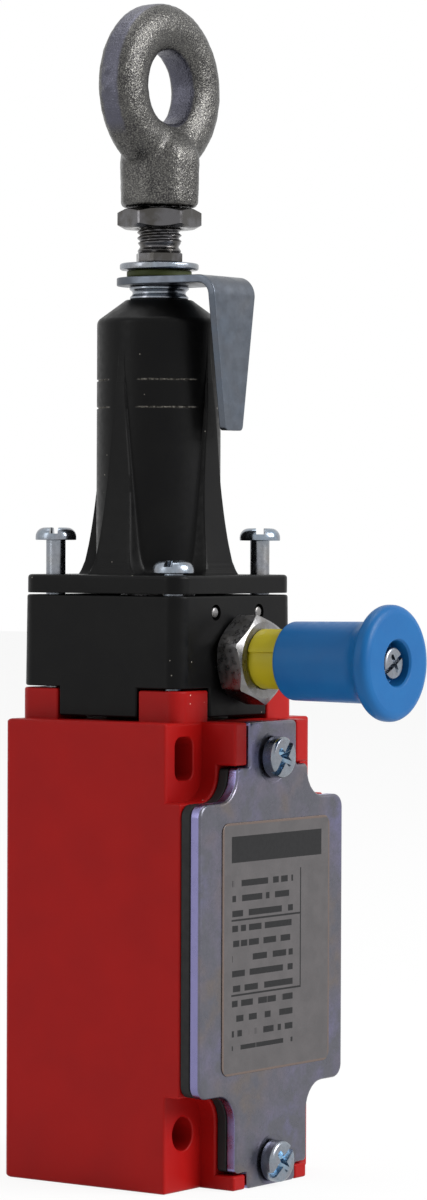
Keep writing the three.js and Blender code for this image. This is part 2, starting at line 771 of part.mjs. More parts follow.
function camPin() {
  const pin = rod(cam_pin_radius, -cam_radius + 0.2, cam_radius - 0.2, 0, 0, 10).rotate([0, 0, 90]);
  return moved(pin, 0, axis_depth, cam_bottom + cam_height - 4);
}

// A washer or collar round the spindle.
function ring(outer, bore, bottom, top, edge, sides = 20) {
  return turned([
    [bore, bottom], [outer - edge, bottom], [outer, bottom + edge], [outer, top - edge], [outer - edge, top],
    [bore, top], [bore, bottom],
  ], 0, axis_depth, sides);
}

function spindleRing(outer, bottom, thickness, edge) {
  return ring(outer, spindle_radius + thread_gap, bottom, bottom + thickness, edge);
}

function tensionPointer() {
  const inner = 2;
  const outer = inner + pointer_thickness;
  const reach = pointer_reach;
  const profile = rounded([
    [-pointer_round, pointer_bottom, 0], [reach - pointer_thickness, pointer_bottom, inner],
    [reach - pointer_thickness, pointer_tip_height, 0], [reach, pointer_tip_height, 0],
    [reach, pointer_top, outer], [-pointer_round, pointer_top, 0],
  ]);
  const plan = new THREE.Shape();
  const lean = Math.asin((pointer_round - pointer_bend_half_width) / reach);
  plan.absarc(0, 0, pointer_round, -lean, Math.PI + lean, false);
  plan.lineTo(-pointer_bend_half_width, -reach - 1);
  plan.lineTo(pointer_bend_half_width, -reach - 1);
  plan.closePath();
  const front = rounded([
    [-pointer_tip_half_width, pointer_tip_height, 0.7], [pointer_tip_half_width, pointer_tip_height, 0.7],
    [pointer_bend_half_width, pointer_bottom - 2, 0], [pointer_round + 1, pointer_bottom - 1, 0],
    [pointer_round + 1, pointer_top + 1, 0], [-pointer_round - 1, pointer_top + 1, 0],
    [-pointer_round - 1, pointer_bottom - 1, 0], [-pointer_bend_half_width, pointer_bottom - 2, 0],
  ]);
  const bent = sideways(profile, pointer_round + 1)
    .intersect(upright(plan, pointer_tip_height - 1, pointer_top + 1, 16))
    .intersect(forward(front, -reach - past, reach + past));
  const bore = post(spindle_radius + thread_gap, pointer_bottom - 1, pointer_top + 1, 0, 0, 20);
  return moved(cut(bent, bore), 0, axis_depth, 0);
}

function lockNut() {
  const reach = lock_nut_flats / Math.sqrt(3);
  const [bottom, top] = [lock_nut_bottom, lock_nut_bottom + lock_nut_thickness];
  const blank = upright(hexagon(lock_nut_flats, lock_nut_turn), bottom, top);
  const limit = turned([
    [0, bottom], [lock_nut_flats / 2 - 0.1, bottom], [reach + 0.1, bottom + 0.7], [reach + 0.1, top - 0.7],
    [lock_nut_flats / 2 - 0.1, top], [0, top],
  ], 0, 0, 30);
  const nut = cut(blank.intersect(limit), post(spindle_radius + thread_gap, bottom - 1, top + 1, 0, 0, 20));
  return moved(nut, 0, axis_depth, 0);
}

function eyeNut() {
  const base_top = eye_bottom + eye_base_height;
  const base = turned([
    [0, eye_bottom], [eye_base_radius - 0.5, eye_bottom], [eye_base_radius, eye_bottom + 0.6],
    [eye_base_radius + 0.1, eye_bottom + 7], [eye_base_radius - 0.4, eye_bottom + 8.8],
    [eye_base_radius - 1.6, eye_bottom + 10.4], [eye_base_radius - 3.4, eye_bottom + 11.6], [0, eye_bottom + 12.2],
  ], 0, 0, 20);
  const loop = solid(new THREE.TorusGeometry(eye_ring_radius, eye_wire_radius, 10, 26).rotateX(Math.PI / 2));
  const body = join(base, loop.translate([0, 0, eye_centre]));
  const bore = post(spindle_radius + thread_gap, eye_bottom - 1, base_top - 0.5, 0, 0, 20);
  return moved(cut(body, bore), 0, axis_depth, 0);
}

function springSeat() {
  const bottom = spring_seat_height;
  return turned([
    [spindle_radius + thread_gap, bottom], [spring_seat_radius - 0.8, bottom], [spring_seat_radius, bottom + 0.8],
    [spring_seat_radius, bottom + 2.2], [spring_seat_radius - 0.4, bottom + 2.2],
    [spring_seat_radius - 0.4, bottom + 1.2], [spindle_radius + thread_gap, bottom + 1.2],
    [spindle_radius + thread_gap, bottom],
  ], 0, axis_depth, 20);
}

function retainingRing() {
  const height = spring_seat_height - seat;
  return ring(spindle_radius + 1.4, spindle_radius - 0.4, height - 0.8, height - seat, 0.1, 20);
}

function mainSpring() {
  const wire = main_spring_wire;
  return spring(main_spring_radius, wire, 6.5, spring_seat_height + 1.2 + seat, spring_top - seat)
    .translate(0, -axis_depth, 0);
}

function plunger() {
  const foot = carrier_top + seat;
  return turned([
    [0, foot], [3, foot], [3, foot + 1.2], [plunger_radius, foot + 1.6], [plunger_radius, plunger_top - 0.6],
    [plunger_radius - 0.8, plunger_top], [0, plunger_top],
  ], 0, axis_depth, 20);
}

const channel_half = carrier_half_width + slip;
const channel_back = axis_depth - carrier_depth / 2 - slip;
const channel_front = axis_depth + carrier_depth / 2 + slip;
const channel_floor = block_bottom + spring_floor;
const pocket_reach = block_half_width - block_side_wall;
const pocket_back = axis_depth - pocket_half_depth;
const pocket_front = axis_depth + pocket_half_depth;
const terminal_neck = { inner: pocket_reach - 2.2, outer: pocket_reach - seat - 0.2 };
const terminal_tab = { inner: block_half_width - 7.8, outer: block_half_width - 1.2 };
const rivet_x = block_half_width - rivet_inset;
const terminal_screw_x = block_half_width - terminal_screw_inset;
const terminals = [
  { name: 'terminal_lower_left', side: -1, pocket: lower_pocket, contact: 1 },
  { name: 'terminal_lower_right', side: 1, pocket: lower_pocket, contact: 1 },
  { name: 'terminal_upper_left', side: -1, pocket: upper_pocket, contact: -1 },
  { name: 'terminal_upper_right', side: 1, pocket: upper_pocket, contact: -1 },
];

// Heights of one terminal: its arm lies on the pocket's floor or under its roof.
function terminalHeights({ pocket, contact }) {
  const arm = contact > 0 ? pocket + seat : pocket + pocket_height - seat - strip;
  const tab = contact > 0 ? [arm, arm + tab_length] : [arm + strip - tab_length, arm + strip];
  return { arm, tab, screw: contact > 0 ? arm + terminal_screw_rise : arm + strip - terminal_screw_rise };
}

function contactBlock() {
  let body = block(-block_half_width, block_half_width, block_back, block_front, block_bottom, block_top);
  body = cut(body, block(-channel_half, channel_half, channel_back, channel_front, channel_floor, block_top + 1));
  for (const floor of [lower_pocket, upper_pocket]) {
    body = cut(body, block(-pocket_reach, pocket_reach, pocket_back, pocket_front, floor, floor + pocket_height));
  }
  for (const terminal of terminals) {
    const { arm, screw } = terminalHeights(terminal);
    const inner = terminal.side * (terminal_neck.inner - seat);
    const outer = terminal.side * (terminal_neck.outer + seat);
    const slit = block(
      Math.min(inner, outer), Math.max(inner, outer), pocket_front - 1, block_front + 1,
      arm - seat, arm + strip + seat,
    );
    const hole = rod(1.6, pocket_front + 0.4, block_front + 1, terminal.side * terminal_screw_x, screw, 10);
    body = cut(body, slit, hole);
  }
  for (const side of [-1, 1]) {
    body = cut(body, rod(block_screw.radius + slip, block_back - 1, block_front + 1, side * block_screw.x,
      block_screw.height, 10));
  }
  return body;
}

function terminal(place) {
  const { side, contact } = place;
  const { arm, tab, screw } = terminalHeights(place);
  const across = (from, to, d0, d1, z0, z1) => (
    block(Math.min(side * from, side * to), Math.max(side * from, side * to), d0, d1, z0, z1));
  const tab_back = block_front + seat;
  const rivet = contact > 0 ? [arm + strip - 0.2, arm + strip + rivet_height] : [arm - rivet_height, arm + 0.2];
  const body = join(
    across(rivet_x - 1.5, terminal_neck.outer, axis_depth - 2.4, axis_depth + 2.4, arm, arm + strip),
    across(terminal_neck.inner, terminal_neck.outer, axis_depth, tab_back + 0.4, arm, arm + strip),
    across(terminal_tab.inner, terminal_tab.outer, tab_back, tab_back + strip, tab[0], tab[1]),
    post(rivet_radius, rivet[0], rivet[1], side * rivet_x, axis_depth, 10),
  );
  return cut(body, rod(1.6, tab_back - 0.5, tab_back + strip + 0.7, side * terminal_screw_x, screw, 10));
}

function terminalScrew(place) {
  const { screw } = terminalHeights(place);
  const screw_depth = block_front + seat + strip + seat;
  const body = frontScrew(2.9, 1.9, 1.45, screw_depth - pocket_front - 0.8, 8);
  return moved(body, place.side * terminal_screw_x, screw_depth, screw);
}

const bridges = [
  { name: 'contact_bridge_lower', height: lower_pocket + 2.7, contact: -1 },
  { name: 'contact_bridge_upper', height: upper_pocket + 1.5, contact: 1 },
];

function contactBridge({ height, contact }) {
  const half = pocket_reach - bridge_end_gap;
  const face = contact > 0 ? height + strip : height;
  const rivet = contact > 0 ? [face - 0.2, face + rivet_height] : [face - rivet_height, face + 0.2];
  return join(
    block(-half, half, axis_depth - bridge_width / 2, axis_depth + bridge_width / 2, height, height + strip),
    post(rivet_radius, rivet[0], rivet[1], -rivet_x, axis_depth, 10),
    post(rivet_radius, rivet[0], rivet[1], rivet_x, axis_depth, 10),
  );
}

function contactCarrier() {
  const half = carrier_half_width;
  const [back, front] = [axis_depth - carrier_depth / 2, axis_depth + carrier_depth / 2];
  let body = block(-half, half, back, front, carrier_bottom, carrier_top);
  for (const { height } of bridges) {
    body = cut(body, block(
      -half - 1, half + 1, axis_depth - bridge_width / 2 - seat, axis_depth + bridge_width / 2 + seat,
      height - seat, height + strip + seat,
    ));
  }
  return body;
}

function carrierSpring() {
  return spring(3.1, 0.6, 3, channel_floor + seat, carrier_bottom - seat).translate(0, -axis_depth, 0);
}

function contactBlockScrew(side) {
  const { x, height, head, radius, length } = block_screw;
  return moved(frontScrew(head, 1.8, radius, length, 8), side * x, block_front + seat, height);
}

function earthClamp() {
  const back = back_wall + earth_screw.boss + seat;
  const { x, height, radius } = earth_screw;
  const plate = block(x - 2.6, x + 2.6, back, back + 0.8, height - 2.6, height + 2.6);
  return cut(plate, rod(radius + slip, back - 1, back + 2, x, height, 10));
}

function earthScrew() {
  const depth = back_wall + earth_screw.boss + 0.8 + 2 * seat;
  return moved(frontScrew(2.4, 1.6, earth_screw.radius, depth - 2, 8), earth_screw.x, depth, earth_screw.height);
}

function headScrew(sx, sy, raise) {
  return moved(
    panScrew(3.35, 2.1, head_screw_radius, head_screw_length),
    sx * head_screw_offset, axis_depth - sy * head_screw_offset, flange_top + slip + raise,
  );
}

function sealRing() {
  const middle = seal_groove_radius + seal_groove_width / 2;
  const centre = flange_bottom - slip - 0.55;
  const loop = new THREE.TorusGeometry(middle, 0.5, 5, 24);
  return loop.translate(0, -axis_depth, centre);
}

const red = { color: 0xb01a16, roughness: 0.35, metalness: 0 };
const black = { color: 0x17181a, roughness: 0.45, metalness: 0 };
const zinc = { color: 0xa9acb5, roughness: 0.35, metalness: 1 };
const steel = { color: 0x8f9296, roughness: 0.3, metalness: 1 };
const galvanised = { color: 0x75767a, roughness: 0.6, metalness: 1 };
const rubber = { color: 0x1b1b1c, roughness: 0.8, metalness: 0 };
const blue = { color: 0x1f6fb5, roughness: 0.4, metalness: 0 };
const yellow = { color: 0xc9bd1f, roughness: 0.45, metalness: 0 };
const green = { color: 0x3f4a1c, roughness: 0.6, metalness: 0 };
const moulding = { color: 0xd8d4c8, roughness: 0.5, metalness: 0 };
const brass = { color: 0xb8924a, roughness: 0.35, metalness: 1 };
const plate = { color: 0x8d8f92, roughness: 0.45, metalness: 1 };

const assembly = new THREE.Group();
assembly.position.z = -origin_height;

function add(name, shape, look, group = assembly) {
  const geometry = shape.isBufferGeometry ? surface(solid(shape)) : surface(shape);
  const mesh = new THREE.Mesh(geometry, new THREE.MeshStandardMaterial(look));
  mesh.name = name;
  group.add(mesh);
}

add('housing', housing(), red);
add('cover_gasket', coverGasket(), rubber);
add('front_cover', frontCover(), zinc);
add('rating_plate', ratingPlate(), plate);
add('cover_screw_lower', coverScrew(cover_screw_heights[0]), steel);
add('cover_screw_upper', coverScrew(cover_screw_heights[1]), steel);

add('contact_block', contactBlock(), black);
add('contact_block_screw_left', contactBlockScrew(-1), steel);
add('contact_block_screw_right', contactBlockScrew(1), steel);
for (const place of terminals) {
  add(place.name, terminal(place), brass);
  add(place.name.replace('terminal', 'terminal_screw'), terminalScrew(place), steel);
}
add('contact_carrier', contactCarrier(), moulding);
for (const bridge of bridges) {
  add(bridge.name, contactBridge(bridge), brass);
}
add('carrier_spring', carrierSpring(), steel);
add('earth_clamp', earthClamp(), steel);
add('earth_screw', earthScrew(), brass);
add('plunger', plunger(), steel);

add('head_gasket', headGasket(), rubber);
add('head_body', headBody(), black);
add('seal_ring', sealRing(), rubber);
add('bell_housing', bell(), black);
head_corners.forEach(([sx, sy], i) => {
  const raised = sx * sy < 0;
  add(`head_screw_${i + 1}`, headScrew(sx, sy, raised ? head_screw_raise : 0), steel);
});
add('guide_pin_left', guidePin(-1), steel);
add('guide_pin_right', guidePin(1), steel);

add('reset_nut', resetNut(), steel);
add('yellow_sleeve', yellowSleeve(), yellow);
add('reset_knob', resetKnob(), blue);
add('knob_screw', knobScrew(), steel);
add('reset_shaft', resetShaft(), steel);
add('reset_spring', resetSpring(), steel);
add('latch_slide', latchSlide(), steel);

add('spindle', spindle(), steel);
add('cam', cam(), steel);
add('cam_pin', camPin(), steel);
add('main_spring', mainSpring(), steel);
add('spring_seat', springSeat(), zinc);
add('retaining_ring', retainingRing(), steel);
add('spacer_nut', spindleRing(spacer_radius, bell_top + seat, spacer_thickness, 0.3), zinc);
add('tension_pointer', tensionPointer(), zinc);
add('indicator_ring', spindleRing(ring_radius, ring_bottom, ring_thickness, 0.2), green);
add('washer', spindleRing(washer_radius, washer_bottom, washer_thickness, 0.25), zinc);
add('lock_nut', lockNut(), steel);
add('eye_nut', eyeNut(), galvanised);

const rope_pull_switch = new THREE.Group();
rope_pull_switch.add(assembly);

export default rope_pull_switch;
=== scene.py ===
import math
import bmesh
import bpy
import numpy as np
from mathutils import Matrix, Vector

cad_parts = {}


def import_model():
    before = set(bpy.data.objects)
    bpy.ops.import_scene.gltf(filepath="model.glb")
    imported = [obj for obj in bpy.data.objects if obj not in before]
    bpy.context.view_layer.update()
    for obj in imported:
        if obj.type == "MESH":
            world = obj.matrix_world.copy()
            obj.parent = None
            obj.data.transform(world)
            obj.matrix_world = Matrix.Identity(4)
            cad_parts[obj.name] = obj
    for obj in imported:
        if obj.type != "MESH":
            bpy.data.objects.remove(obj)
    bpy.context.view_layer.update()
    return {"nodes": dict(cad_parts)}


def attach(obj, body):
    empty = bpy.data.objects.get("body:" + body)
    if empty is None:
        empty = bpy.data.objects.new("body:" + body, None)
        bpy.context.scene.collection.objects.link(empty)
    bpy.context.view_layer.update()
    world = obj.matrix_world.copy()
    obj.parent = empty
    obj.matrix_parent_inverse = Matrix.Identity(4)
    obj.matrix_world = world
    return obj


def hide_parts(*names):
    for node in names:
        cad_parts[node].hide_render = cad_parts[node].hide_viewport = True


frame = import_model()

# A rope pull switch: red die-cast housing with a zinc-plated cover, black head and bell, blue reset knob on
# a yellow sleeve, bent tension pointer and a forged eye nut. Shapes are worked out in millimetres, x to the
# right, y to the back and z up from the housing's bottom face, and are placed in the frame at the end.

# Sizes in millimetres, as in the part's source
origin_height = 39.25
housing_width = 40
housing_depth = 35.7
housing_height = 75
wall = 3.5
back_wall = 4
hole_x = 15
thread_hole = 1.7
screw_hole = 1.9
plunger_hole = 4.2
hole_height = 9.25
slot_height = 69.25
hole_radius = 2.7
slot_radius = 2.6
slot_reach = 0.85
ledge_depth = 32.8
lower_ledge = 15.5
upper_ledge = 62.4
neck_half_width = 10.2
neck_fillet = 4.5
lug_drop = 6.9
lip_height = 2.4
conduit_radius = 9.25
slip = 0.3
seat = 0.1
gasket_front = 37.6
cover_back = 37.7
cover_front = 39.7
lug_front = 39.4
ear_half_width = 6.6
cover_corner = 2.2
cover_screw_heights = (3.9, 69.2)
plate_box = (-14.1, 15.9, 18.7, 59.1)
plate_corner = 1.6
plate_thickness = 0.15
gasket_window = (-15.5, 15.5, 20, 57.9)
axis_depth = 16.3
head_half = 16.3
head_corner = 3
head_bottom = 80.3
head_top = 95.2
tab_inset = 8.2
tab_corner = 2.5
flange_bottom = 95.5
flange_top = 98.5
flange_half = 16.1
head_screw_offset = 12
head_screw_raise = 5.3
bell_radius = 10.2
bell_top = 143.6
bell_shoulder = 140
bell_bore = 8.4
bell_roof = 137
mark_heights = (125.8, 130.3)
reset_height = 84.8
nut_back = 32.9
nut_front = 37.8
sleeve_radius = 4.65
knob_back = 43.6
knob_front = 63.7
knob_radius = 9.3
recess_floor = 60.7
guide_pin_x = 6
guide_pin_height = 92.5
spindle_radius = 3.65
ring_bore = 3.75
spindle_bottom = 89.2
pointer_bottom = 145.9
pointer_thickness = 1.3
pointer_reach = 15.35
pointer_tip = 122
ring_bottom = 147.3
washer_bottom = 148.5
collar_bottom = 149.7
collar_top = 151.4
lock_nut_bottom = 155.3
lock_nut_top = 158.5
eye_bottom = 158.8
eye_centre = 178.3
spindle_top = 168.3

# An edge that lies in or on another solid stays sharp, and a cutting tool stands out past what it cuts.
sharp = 0.01
beyond = 5


# Meshes

def unit(vectors):
    """The same directions at length one."""
    return vectors / np.linalg.norm(vectors, axis=-1, keepdims=True)


def outline(corners, inset=0.0, steps=6):
    """Closed outline: each corner (u, v, radius) of an anticlockwise polygon moves in by the inset along both
    its edges, then an arc of its radius runs from edge to edge. Outward corners lose the inset from their
    radius and inward corners gain it, so all insets of one outline have matching points."""
    corners = np.asarray(corners, float)
    point, radius = corners[:, :2], corners[:, 2]
    ahead = unit(np.roll(point, -1, 0) - point)
    behind = unit(point - np.roll(point, 1, 0))
    left_ahead = np.column_stack([-ahead[:, 1], ahead[:, 0]])
    left_behind = np.column_stack([-behind[:, 1], behind[:, 0]])
    half = np.arctan2(behind[:, 0] * ahead[:, 1] - behind[:, 1] * ahead[:, 0], np.sum(behind * ahead, 1)) / 2
    point = point + unit(left_ahead + left_behind) * (inset / np.cos(half))[:, None]
    side = np.sign(half)
    radius = np.maximum(radius - side * inset, 0.02)
    start = point - behind * (radius * np.tan(np.abs(half)))[:, None]
    centre = start + left_behind * (side * radius)[:, None]
    angle = 2 * half[:, None] * np.linspace(0, 1, steps + 1)
    arm = (start - centre)[:, :, None]
    u = centre[:, :1] + arm[:, 0] * np.cos(angle) - arm[:, 1] * np.sin(angle)
    v = centre[:, 1:] + arm[:, 0] * np.sin(angle) + arm[:, 1] * np.cos(angle)
    return np.stack([u, v], -1).reshape(-1, 2)


def circle(u, v, radius, points=40):
    """Closed circle: u + r cos a and v + r sin a."""
    angle = 2 * np.pi * (np.arange(points) + 0.5) / points
    return np.column_stack([u + radius * np.cos(angle), v + radius * np.sin(angle)])


def rectangle(x0, x1, y0, y1, radius):
    """Anticlockwise corners of a rectangle, all with one radius."""
    return [(x0, y0, radius), (x1, y0, radius), (x1, y1, radius), (x0, y1, radius)]


def plan(half_width, half_depth, radius):
    """Corners of a rectangle about the spindle's axis, seen from above."""
    return rectangle(-half_width, half_width, -axis_depth - half_depth, -axis_depth + half_depth, radius)


def around(radius, angle, height):
    """Points at r cos a, r sin a and the height, for values or arrays that fit each other."""
    return np.stack(np.broadcast_arrays(radius * np.cos(angle), radius * np.sin(angle), height), -1)


def to_axis(corners, steps):
    """Outline of a half section that begins and ends on its axis of revolution."""
    section = outline(corners, 0, steps)
    section[:, 0] = np.maximum(section[:, 0], 0)
    return section


def skin(rings, ends_meet=False):
    """Quads between neighbouring closed rings of an array (ring, point, xyz)."""
    index = np.arange(rings.shape[0] * rings.shape[1]).reshape(rings.shape[:2])
    after = np.roll(index, -1, 1)
    if ends_meet:
        index, after = np.vstack([index, index[:1]]), np.vstack([after, after[:1]])
    return np.stack([index[:-1], after[:-1], after[1:], index[1:]], -1).reshape(-1, 4).tolist()


def outward(points, faces):
    """Turns all faces round if the closed surface's volume comes out negative."""
    fans = np.array([(face[0], face[i], face[i + 1]) for face in faces for i in range(1, len(face) - 1)])
    a, b, c = (points[fans[:, i]] for i in range(3))
    if np.sum(a * np.cross(b, c)) < 0:
        faces = [face[::-1] for face in faces]
    return points, faces


def quarter(radius, steps=4):
    """Insets and drops of a rounded edge: r (1 - cos t) and r (1 - sin t) for t from 0 to a quarter turn."""
    t = np.linspace(0, np.pi / 2, steps + 1)
    return np.column_stack([radius * (1 - np.cos(t)), radius * (1 - np.sin(t))])


def edged(back, front, back_edge, front_edge):
    """Profile of a slab's side: inset and place along, rounded at both ends, with a narrow flat rim after."""
    rim = 0.15
    start = quarter(back_edge)[::-1] + (0, back)
    end = quarter(front_edge) * (1, -1) + (0, front)
    return np.vstack([[[back_edge + rim, back]], start, end, [[front_edge + rim, front]]])


def slab(outer, profile, upright=False):
    """Solid between two flat caps: the outline at each inset of the profile stands at that place along the
    axis, which runs to the front, or up."""
    count = len(outer(0))
    rings = np.array([np.column_stack([outer(inset), np.full(count, along)]) for inset, along in profile])
    last = (len(rings) - 1) * count
    faces = skin(rings) + [list(range(count))[::-1], list(range(last, last + count))]
    points, faces = outward(rings.reshape(-1, 3), faces)
    if not upright:
        points = np.column_stack([points[:, 0], -points[:, 2], points[:, 1]])
    return points, faces


def through(outer, back, front, edge):
    """Tool for a hole with rounded rims: the outline grows at both ends along a quarter circle."""
    rim = quarter(edge)
    start = np.column_stack([-rim[:, 1], rim[:, 0]]) + (0, back)
    end = np.column_stack([-rim[::-1, 1], -rim[::-1, 0]]) + (0, front)
    return slab(outer, np.vstack([[[-edge, back - 1]], start, end, [[-edge, front + 1]]]))


def turned(section, sides=64, x=0.0, y=0.0, z=0.0, to_front=False):
    """Solid of revolution: the section's point (r, s) stands at r cos a, r sin a and s along the axis."""
    section = np.asarray(section, float)
    angle = 2 * np.pi * (np.arange(sides) + 0.5) / sides
    rings = around(section[:, :1], angle, section[:, 1:])
    if to_front:
        rings = np.stack([rings[..., 0], -rings[..., 2], rings[..., 1]], -1)
    points, faces = outward(rings.reshape(-1, 3), skin(rings, ends_meet=True))
    return points + (x, y, z), faces


def box(x0, x1, y0, y1, z0, z1):
    """Plain box between three pairs of sides."""
    outer = rectangle(x0, x1, y0, y1, 0)
    return slab(lambda inset: outline(outer, inset, 1), [(0, z0), (0, z1)], upright=True)


def post(radius, bottom, top, x=0.0, y=0.0, sides=40):
    """Upright cylinder: a circle about (x, y) between two heights."""
    return slab(lambda inset: circle(x, y, radius - inset, sides), [(0, bottom), (0, top)], upright=True)


def rod(radius, back, front, x, z, sides=40):
    """Cylinder that lies to the front: a circle about (x, z) between two depths."""
    return slab(lambda inset: circle(x, z, radius - inset, sides), [(0, back), (0, front)])


def screw_holes(radius, bottom, top):
    """Tools for the four holes of the head screws."""
    return [post(radius, bottom, top, sx * head_screw_offset, -axis_depth + sy * head_screw_offset, 24)
            for sx in (-1, 1) for sy in (-1, 1)]


def work_object(shell):
    """Passing object that holds a solid while modifiers work on it."""
    mesh = bpy.data.meshes.new("work")
    mesh.from_pydata(shell[0].tolist(), [], shell[1])
    tidy(mesh)
    thing = bpy.data.objects.new("work", mesh)
    bpy.context.scene.collection.objects.link(thing)
    return thing


def tidy(mesh, distance=1e-4):
    """Merges points that lie on each other, which closes seams and poles."""
    work = bmesh.new()
    work.from_mesh(mesh)
    bmesh.ops.remove_doubles(work, verts=work.verts, dist=distance)
    work.to_mesh(mesh)
    work.free()


def evaluated(thing):
    """Points and faces of an object as its modifiers leave it."""
    graph = bpy.context.evaluated_depsgraph_get()
    mesh = bpy.data.meshes.new_from_object(thing.evaluated_get(graph))
    points = np.empty(len(mesh.vertices) * 3)
    mesh.vertices.foreach_get("co", points)
    faces = [list(face.vertices) for face in mesh.polygons]
    bpy.data.meshes.remove(mesh)
    return points.reshape(-1, 3), faces


def carved(shell, add=(), cut=()):
    """The solid with others joined to it and then others cut from it."""
    base = work_object(shell)
    tools = [(work_object(other), "UNION") for other in add]
    tools += [(work_object(other), "DIFFERENCE") for other in cut]
    for tool, operation in tools:
        step = base.modifiers.new("step", "BOOLEAN")
        step.solver = "MANIFOLD"
        step.operation = operation
        step.object = tool
    result = evaluated(base)
    for thing in [base] + [tool for tool, _ in tools]:
        bpy.data.objects.remove(thing)
    return result


def moved(shell, x=0.0, y=0.0, z=0.0, turn=0.0, to_front=False):
    """Turns a solid about its upright axis, lays that axis to the front if asked, and moves it."""
    tilt = Matrix.Rotation(math.radians(90 if to_front else 0), 3, "X")
    matrix = tilt @ Matrix.Rotation(math.radians(turn), 3, "Z")
    return shell[0] @ np.array(matrix).T + (x, y, z), shell[1]


def piece(name, shell, material, body, replaces=(), crease=32, weighted=True):
    """Makes the finished object in metres, with soft normals that stay crisp at its creases."""
    mesh = bpy.data.meshes.new(name)
    points = (shell[0] - (0, 0, origin_height)) * 0.001
    mesh.from_pydata(points.tolist(), [], shell[1])
    tidy(mesh, 1e-7)
    mesh.polygons.foreach_set("use_smooth", [True] * len(mesh.polygons))
    mesh.set_sharp_from_angle(angle=math.radians(crease))
    mesh.materials.append(material)
    thing = bpy.data.objects.new(name, mesh)
    bpy.context.scene.collection.objects.link(thing)
    if weighted:
        normals = thing.modifiers.new("normals", "WEIGHTED_NORMAL")
        normals.keep_sharp = True
    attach(thing, body)
    if replaces:
        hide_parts(*replaces)
    return thing


def placed(thing):
    """The finished mesh's points, back in millimetres above the housing's bottom."""
    points = np.empty(len(thing.data.vertices) * 3)
    thing.data.vertices.foreach_get("co", points)
    return points.reshape(-1, 3) * 1000 + (0, 0, origin_height)


def record(thing, name, values):
    """Stores a value from 0 to 1 at every point, for the material to read."""
    attribute = thing.data.attributes.new(name, "FLOAT", "POINT")
    attribute.data.foreach_set("value", np.clip(values, 0, 1).astype(np.float32))


# Materials

def colour(code):
    """An sRGB hex value as linear red, green, blue and alpha."""
    srgb = np.array([int(code[i:i + 2], 16) for i in (0, 2, 4)]) / 255
    linear = np.where(srgb <= 0.04045, srgb / 12.92, ((srgb + 0.055) / 1.055) ** 2.4)
    return (*linear.tolist(), 1.0)


def per(millimetres):
    """Texture scale at which one feature is this long."""
    return 1000 / millimetres


def add(tree, kind, inputs=None, **settings):
    """Adds a node with its settings, and its sockets' values or the sockets that feed them."""
    new = tree.nodes.new("ShaderNode" + kind)
    for name, value in settings.items():
        setattr(new, name, value)
    for name, value in (inputs or {}).items():
        if isinstance(value, bpy.types.NodeSocket):
            tree.links.new(value, new.inputs[name])
        else:
            new.inputs[name].default_value = value
    return new


def blank(name):
    """New material with its node tree, its shader and the place on the piece that its patterns read."""
    material = bpy.data.materials.new(name)
    material.use_nodes = True
    tree = material.node_tree
    shader = tree.nodes["Principled BSDF"]
    place = add(tree, "TexCoord").outputs["Object"]
    return material, tree, shader, place


def mixed(tree, factor, first, second):
    """Colour between two, each a hex value or a socket."""
    ends = [colour(end) if isinstance(end, str) else end for end in (first, second)]
    return add(tree, "Mix", {0: factor, 6: ends[0], 7: ends[1]}, data_type="RGBA").outputs[2]


def noise(tree, place, size, detail=2.0, low=0.35, high=0.65, **limits):
    """Cloudy value from 0 to 1 with features of this size in millimetres."""
    value = add(tree, "TexNoise", {"Vector": place, "Scale": per(size), "Detail": detail}).outputs["Fac"]
    span = {"Value": value, "From Min": low, "From Max": high, "To Min": limits.get("start", 0.0),
            "To Max": limits.get("end", 1.0)}
    return add(tree, "MapRange", span).outputs["Result"]


def specks(tree, place, spacing, size, share):
    """Scattered grains: one grain of this size in some of the cells of this spacing, both in millimetres."""
    cells = add(tree, "TexVoronoi", {"Vector": place, "Scale": per(spacing)})
    near = {"Value": cells.outputs["Distance"], "From Min": size / spacing, "From Max": 0.4 * size / spacing}
    dot = add(tree, "MapRange", near).outputs["Result"]
    lot = add(tree, "SeparateColor", {0: cells.outputs["Color"]}).outputs[0]
    chosen = add(tree, "Math", {0: lot, 1: share}, operation="LESS_THAN").outputs[0]
    return add(tree, "Math", {0: dot, 1: chosen}, operation="MULTIPLY").outputs[0]


def bumped(tree, shader, height, depth, strength=0.5):
    """Sends a height pattern, full height in millimetres, to the shader's normal."""
    bump = add(tree, "Bump", {"Height": height, "Distance": depth * 0.001, "Strength": strength})
    tree.links.new(bump.outputs["Normal"], shader.inputs["Normal"])


def powder_coat_red():
    """Polyester powder coat on a zinc die-casting: even, satin, with a faint orange peel and grains of dust."""
    material, tree, shader, place = blank("powder_coat_red")
    cloud = noise(tree, place, 9, start=0.0, end=0.35)
    base = mixed(tree, cloud, "9c100e", "880c0e")
    dust = specks(tree, place, 1.9, 0.15, 0.16)
    tree.links.new(mixed(tree, dust, base, "e8c9bd"), shader.inputs["Base Color"])
    rough = noise(tree, place, 1.4, start=0.36, end=0.46)
    tree.links.new(rough, shader.inputs["Roughness"])
    shader.inputs["Specular IOR Level"].default_value = 0.12
    peel = noise(tree, place, 0.7, 3, 0.2, 0.8)
    bumped(tree, shader, peel, 0.012, 0.6)
    return material


